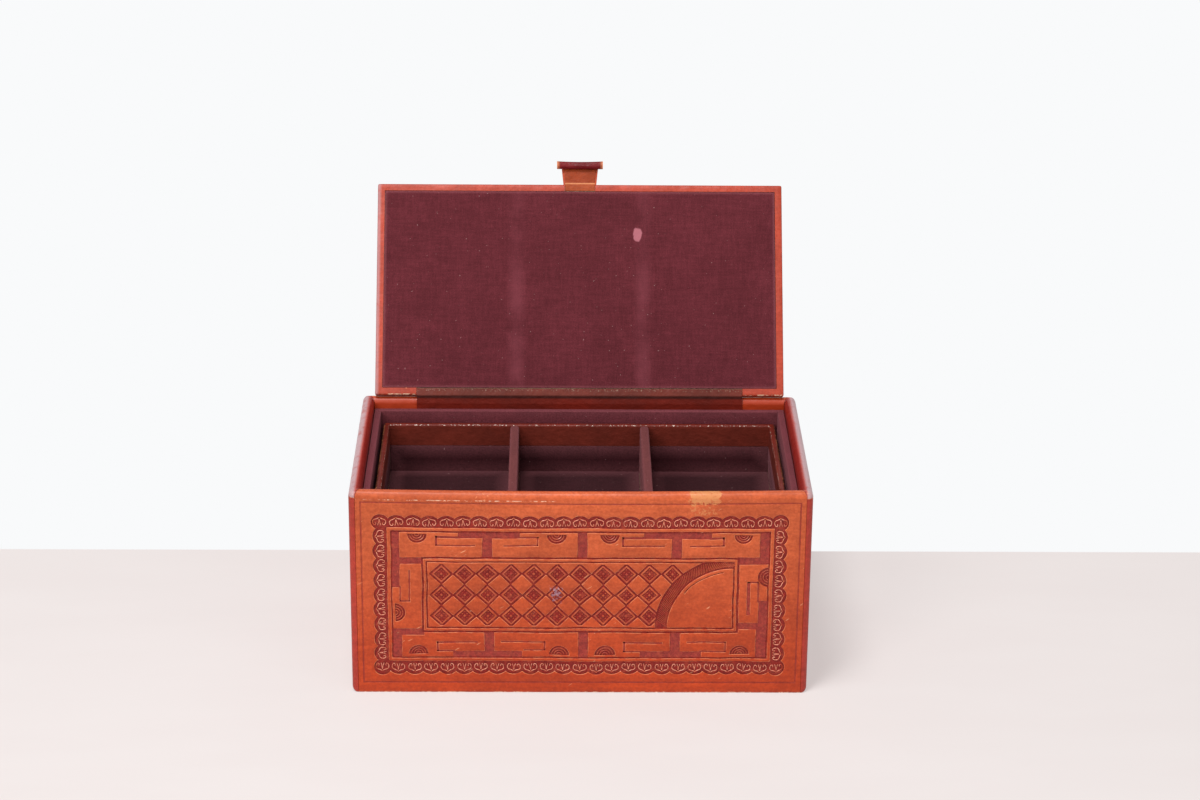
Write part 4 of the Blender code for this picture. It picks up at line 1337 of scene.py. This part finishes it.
class LEATHERBOX_OT_lid(bpy.types.Operator):
    """Make the lid's leather with its tooled top, and its velvet"""

    bl_idname = "leather_box.lid"
    bl_label = "Lid"

    def execute(self, context):
        colours = settings().colours
        finish = tooled_leather("tooled_calf_lid", colours.lid_leather, colours.lid_leather,
                                colours.lid_leather, gloss=0.04)
        bm = shut_copy("lid_leather")
        low, high = corners_of(bm)
        slice_at(bm, 0, (-0.1385, 0.1385))
        slice_at(bm, 1, (low.y + 0.003, high.y - 0.003))
        half_u = high.x / MILLIMETRE
        half_v = (high.y - low.y) / 2 / MILLIMETRE
        frames = (((-119.0, -53.4, 119.0, 53.4), (-117.2, -51.6, 117.2, 51.6)),
                  ((-96.0, -33.2, 96.0, 33.2), (-94.3, -31.5, 94.3, 31.5)))
        pattern = panel_pattern(inset((-half_u, -half_v, half_u, half_v), 6),
                                ScallopBorder(-122.5, -57.0, 122.5, 57.0, 23, 11), frames,
                                (-93.4, -30.6, 93.4, 30.6), lattice(-82.5, 12), [22.5, 7.5, -7.5, -22.5])
        face = face_matrix((0.0, (low.y + high.y) / 2, high.z), (1, 0, 0), (0, 1, 0))
        bm = tooled_cover(bm, face, pattern)
        edges = edge_nearness(low, high, 0.0010)

        def rubbed(place):
            at_hinge = abs(place.x) > 0.113 and place.y > high.y - 0.0006 and place.z < low.z + 0.0010
            return 1.7 if at_hinge else edges(place)

        paint(bm, "wear_and_highlight", rubbed)
        # painted highlight: the lid's left border is painted pale, as if it caught the light
        paint(bm, "painted_sheen", lambda place: 0.6 if place.x < -0.1388 else 0.0)
        bmesh.ops.transform(bm, matrix=LID_TURN, verts=bm.verts)
        finish_piece(to_object("lid_cover", bm, finish), "lid", "lid_leather")

        cloth = velvet_cloth("cotton_velvet_lid", colours.velvet, streaks=True)
        bm = shut_copy("lid_velvet")
        corners = corners_of(bm)
        bm.free()
        item = velvet_block("lid_velvet", corners, 0.0005, "lid", cloth, wear_and_highlight=0.0022, pad=True,
                            turn=LID_TURN, crisp=True, name="lid_velvet_panel")
        # the velvet's own coordinates: metres across, and metres from the edge at the hinge
        flat = item.data.uv_layers.new(name="flat")
        shut = LID_TURN.inverted()
        for loop in item.data.loops:
            place = shut @ item.data.vertices[loop.vertex_index].co
            flat.data[loop.index].uv = (place.x, corners[1].y + PILE_REACH - place.y)
        return {"FINISHED"}


class LEATHERBOX_OT_liner(bpy.types.Operator):
    """Make the velvet-covered liner, the floor pad and the tray rests"""

    bl_idname = "leather_box.liner"
    bl_label = "Liner"

    def execute(self, context):
        cloth = velvet_cloth("cotton_velvet_liner", settings().colours.velvet)
        for index, node in enumerate(("liner_front", "liner_back", "liner_left", "liner_right",
                                      "tray_rest_left", "tray_rest_right")):
            low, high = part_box(node)
            if node == "liner_left":
                high.x -= LINER_SHRINK
            elif node == "liner_right":
                low.x += LINER_SHRINK
            velvet_block(node, (low, high), 0.0009, "box", cloth, index * 0.37)
        velvet_block("floor_pad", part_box("floor_pad"), 0.0005, "box", cloth, crown=0.0004, pad=True)
        return {"FINISHED"}


class LEATHERBOX_OT_tray(bpy.types.Operator):
    """Make the tray's leather, lining, dividers and pads"""

    bl_idname = "leather_box.tray"
    bl_label = "Tray"

    def execute(self, context):
        # painted shade: the tray's outer side is painted near black, for the shade in the gap round the tray
        hide = plain_leather("brown_goatskin_tray", settings().colours.brown_leather, 0.6, 0.38,
                             (("rim", "662016"), ("outside", "2A0F0C")), "E0CCC0", 0.18)
        bm = node_copy("tray_leather")
        low, high = corners_of(bm)
        for axis in (0, 1):
            slice_at(bm, axis, (low[axis] + 0.003, low[axis] + 0.006, high[axis] - 0.006, high[axis] - 0.003))
        slice_at(bm, 2, (high.z - 0.003, high.z - 0.0012))

        def inside(place):
            return min(high.x - abs(place.x), high.y - abs(place.y - (low.y + high.y) / 2))

        def inner_edge(place):
            return 1.0 if inside(place) > 0.0032 and place.z > high.z - 0.0007 else 0.0

        paint(bm, "wear_and_highlight", edge_nearness(low, high, 0.0026))
        paint(bm, "rim", lambda place: ramp(place.z - high.z, -0.0016, -0.0004))
        paint(bm, "speck", inner_edge)
        # painted shade on the tray's outer side
        paint(bm, "outside", lambda place: ramp(-inside(place), -0.0012, -0.0006))
        finish_piece(to_object("tray_cover", bm, hide), "tray", "tray_leather")

        # painted shade: the tray's lining is dark, for the shade inside the tray
        cloth = velvet_cloth("cotton_velvet_tray", settings().colours.shaded_tray_velvet)
        for index, side in enumerate(("front", "back", "left", "right")):
            node = f"tray_lining_{side}"
            velvet_block(node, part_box(node), 0.0003, "tray", cloth, index * 0.41, 0.0009)
        rubbed = velvet_cloth("cotton_velvet_dividers", "582B28")
        for node in ("tray_divider_1", "tray_divider_2"):
            velvet_block(node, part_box(node), 0.0018, "tray", rubbed, wear_and_highlight=0.0030)
        # painted shade: the tray's floor is darker still, for the deepest shade
        cloth = velvet_cloth("cotton_velvet_tray_floor", "2B1014")
        for node in ("tray_pad_1", "tray_pad_2", "tray_pad_3"):
            velvet_block(node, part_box(node), 0.0006, "tray", cloth, wear_and_highlight=0.0012, crown=0.0004, pad=True)
        return {"FINISHED"}


class LEATHERBOX_OT_hinge(bpy.types.Operator):
    """Make the leather hinge that joins the lid to the back wall"""

    bl_idname = "leather_box.hinge"
    bl_label = "Hinge strip"

    def execute(self, context):
        # painted shade: the fold over the joint is painted near black, for the shade in the crease
        finish = plain_leather("brown_goatskin_hinge", settings().colours.hinge_leather, 0.5, 0.40,
                               (("below", "681C12"), ("fold", "1E0806")), "9A7C6A", 0.16)
        bm = node_copy("hinge_strip")
        low, high = corners_of(bm)
        slice_at(bm, 0, spread(low.x, high.x, 40))
        slice_at(bm, 2, spread(low.z, high.z, 30))
        for vert in bm.verts:
            vert.co.y += 0.00008 * noise.noise(Vector((vert.co.x * 60.0, vert.co.z * 90.0, 0.3)))
        paint(bm, "speck", lambda place: max(0.0, 1.0 - abs(place.z - 0.1499) / 0.0009))
        paint(bm, "below", lambda place: ramp(-place.z, -0.1466, -0.1450))
        # painted shade along the fold
        paint(bm, "fold", lambda place: max(0.0, 1.0 - abs(place.z - 0.1455) / 0.0016))
        item = to_object("hinge_leather", bm, finish, smooth=60.0)
        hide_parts("hinge_strip")
        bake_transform(item)
        return {"FINISHED"}


class LEATHERBOX_OT_tab(bpy.types.Operator):
    """Make the pull tab: its root, its strap with the curled end, and its lining"""

    bl_idname = "leather_box.tab"
    bl_label = "Pull tab"

    def execute(self, context):
        glazed = plain_leather("glazed_calf_tab", "6C191E", 0.25, 0.34, (("bare_end", "C87A50"),), shine=0.14)
        turned = plain_leather("turned_in_calf_tab", "A8401C", 0.4, 0.48, shine=0.24)
        cut_edge = plain_leather("cut_edge_of_calf", "D98C60", 0.5, 0.6)
        lining = plain_leather("brown_goatskin_tab", "8E3816", 0.8, 0.5, shine=0.16)
        # painted highlight: the crease where the root bends round the lid's edge is painted pale
        root = plain_leather("calf_tab_root", "98421E", 0.6, 0.45, (("crease_highlight", "CC8258"),), shine=0.16)

        # the strap narrows towards the lid, and curls down and round at its free end
        bm = shut_copy("tab_leather")
        low, high = corners_of(bm)
        bm.free()
        level = high.z - TAB_THICKNESS / 2
        curl = Vector((0.0, low.y + TAB_CURL_RADIUS + TAB_THICKNESS / 2, level - TAB_CURL_RADIUS))
        half = TAB_STRAP_WIDTH / 2
        end = TAB_STRAP_END_WIDTH / 2
        rows = [(half + (end - half) * share, high.y + (curl.y + 0.0008 - high.y) * share, level)
                for share in (0.0, 0.25, 0.5, 0.75, 1.0)]
        rows += [(high.x, *point) for point in
                 arc((curl.y, curl.z), TAB_CURL_RADIUS, 90, 90 + TAB_CURL_SWEEP, 27)]
        bm = ribbon(rows, 14, TAB_THICKNESS * 0.9)
        bm.normal_update()
        for face in bm.faces:
            spot = face.calc_center_median()
            on_strap = spot.y > curl.y + 0.0009 and spot.z > level - 0.0012
            outward = spot - Vector((spot.x, curl.y, curl.z))
            outside = face.normal.z > 0.5 if on_strap else face.normal.dot(outward) > 0
            if abs(face.normal.x) > 0.6:
                face.material_index = 2
            elif not outside:
                face.material_index = 1
        for vert in bm.verts:
            if vert.co.y < curl.y + 0.0009:
                hollow = 1 - (vert.co.x / high.x) ** 2
                centre = Vector((vert.co.x, curl.y, curl.z))
                vert.co = centre + (vert.co - centre) * (1 - 0.16 * hollow)
        # the curl's foremost line is painted pale: rubbing, and a painted highlight along it
        paint(bm, "wear_and_highlight", lambda place: max(0.0, 1.0 - abs(place.y - low.y) / 0.0011))
        paint(bm, "bare_end", lambda place: 1.0 if abs(place.x) > high.x - 0.0013 else 0.0)
        bmesh.ops.transform(bm, matrix=LID_TURN, verts=bm.verts)
        item = to_object("tab_curl_leather", bm, glazed, turned, cut_edge)
        finish_piece(item, "tab", "tab_leather")

        bm = shut_copy("tab_root")
        low, high = corners_of(bm)
        slice_at(bm, 0, spread(low.x, high.x, 8))
        slice_at(bm, 2, (high.z - 0.0012, high.z - 0.0005))
        slice_at(bm, 1, (low.y + 0.0005, low.y + 0.0013))
        # painted highlight along the crease
        paint(bm, "crease_highlight", lambda place: ramp(low.y - place.y, -0.0013, -0.0005))
        paint(bm, "wear_and_highlight", lambda place: max(0.0, 1.0 - (high.z - place.z) / 0.0016))
        bmesh.ops.transform(bm, matrix=LID_TURN, verts=bm.verts)
        finish_piece(to_object("tab_root_leather", bm, root), "lid", "tab_root")

        bm = shut_copy("tab_lining")
        low, high = corners_of(bm)
        slice_at(bm, 0, spread(low.x, high.x, 8))
        slice_at(bm, 1, spread(low.y, high.y, 16))
        for vert in bm.verts:
            if vert.co.z < level - 0.0008:
                vert.co.z += 0.00015 * noise.noise(Vector((vert.co.x * 300, vert.co.y * 300, 2.0)))
        # painted highlight: the lining's end at the crease is painted pale
        paint(bm, "wear_and_highlight", lambda place: max(0.0, 1.0 - (high.y - place.y) / 0.0022))
        bmesh.ops.transform(bm, matrix=LID_TURN, verts=bm.verts)
        finish_piece(to_object("tab_strap_lining", bm, lining), "tab", "tab_lining")
        return {"FINISHED"}


class LEATHERBOX_PT_panel(bpy.types.Panel):
    """Lists the pieces of the leather box"""

    bl_label = "Leather Box"
    bl_idname = "LEATHERBOX_PT_panel"
    bl_space_type = "VIEW_3D"
    bl_region_type = "UI"
    bl_category = "Leather Box"

    def draw(self, context):
        for operator in OPERATORS:
            self.layout.operator(operator.bl_idname)


OPERATORS = (LEATHERBOX_OT_stage, LEATHERBOX_OT_front, LEATHERBOX_OT_back, LEATHERBOX_OT_ends,
             LEATHERBOX_OT_base, LEATHERBOX_OT_lid, LEATHERBOX_OT_liner, LEATHERBOX_OT_tray,
             LEATHERBOX_OT_hinge, LEATHERBOX_OT_tab)
CLASSES = (LeatherBoxColours, LeatherBoxSizes, LeatherBoxStage, LeatherBoxSettings, *OPERATORS,
           LEATHERBOX_PT_panel)


def register():
    for item in CLASSES:
        bpy.utils.register_class(item)
    bpy.types.Scene.leather_box = PointerProperty(type=LeatherBoxSettings)


def unregister():
    del bpy.types.Scene.leather_box
    for item in reversed(CLASSES):
        bpy.utils.unregister_class(item)


def main():
    """Register the add-on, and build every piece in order."""
    register()
    for operator in OPERATORS:
        group, name = operator.bl_idname.split(".")
        getattr(getattr(bpy.ops, group), name)()


if __name__ == "__main__":
    main()
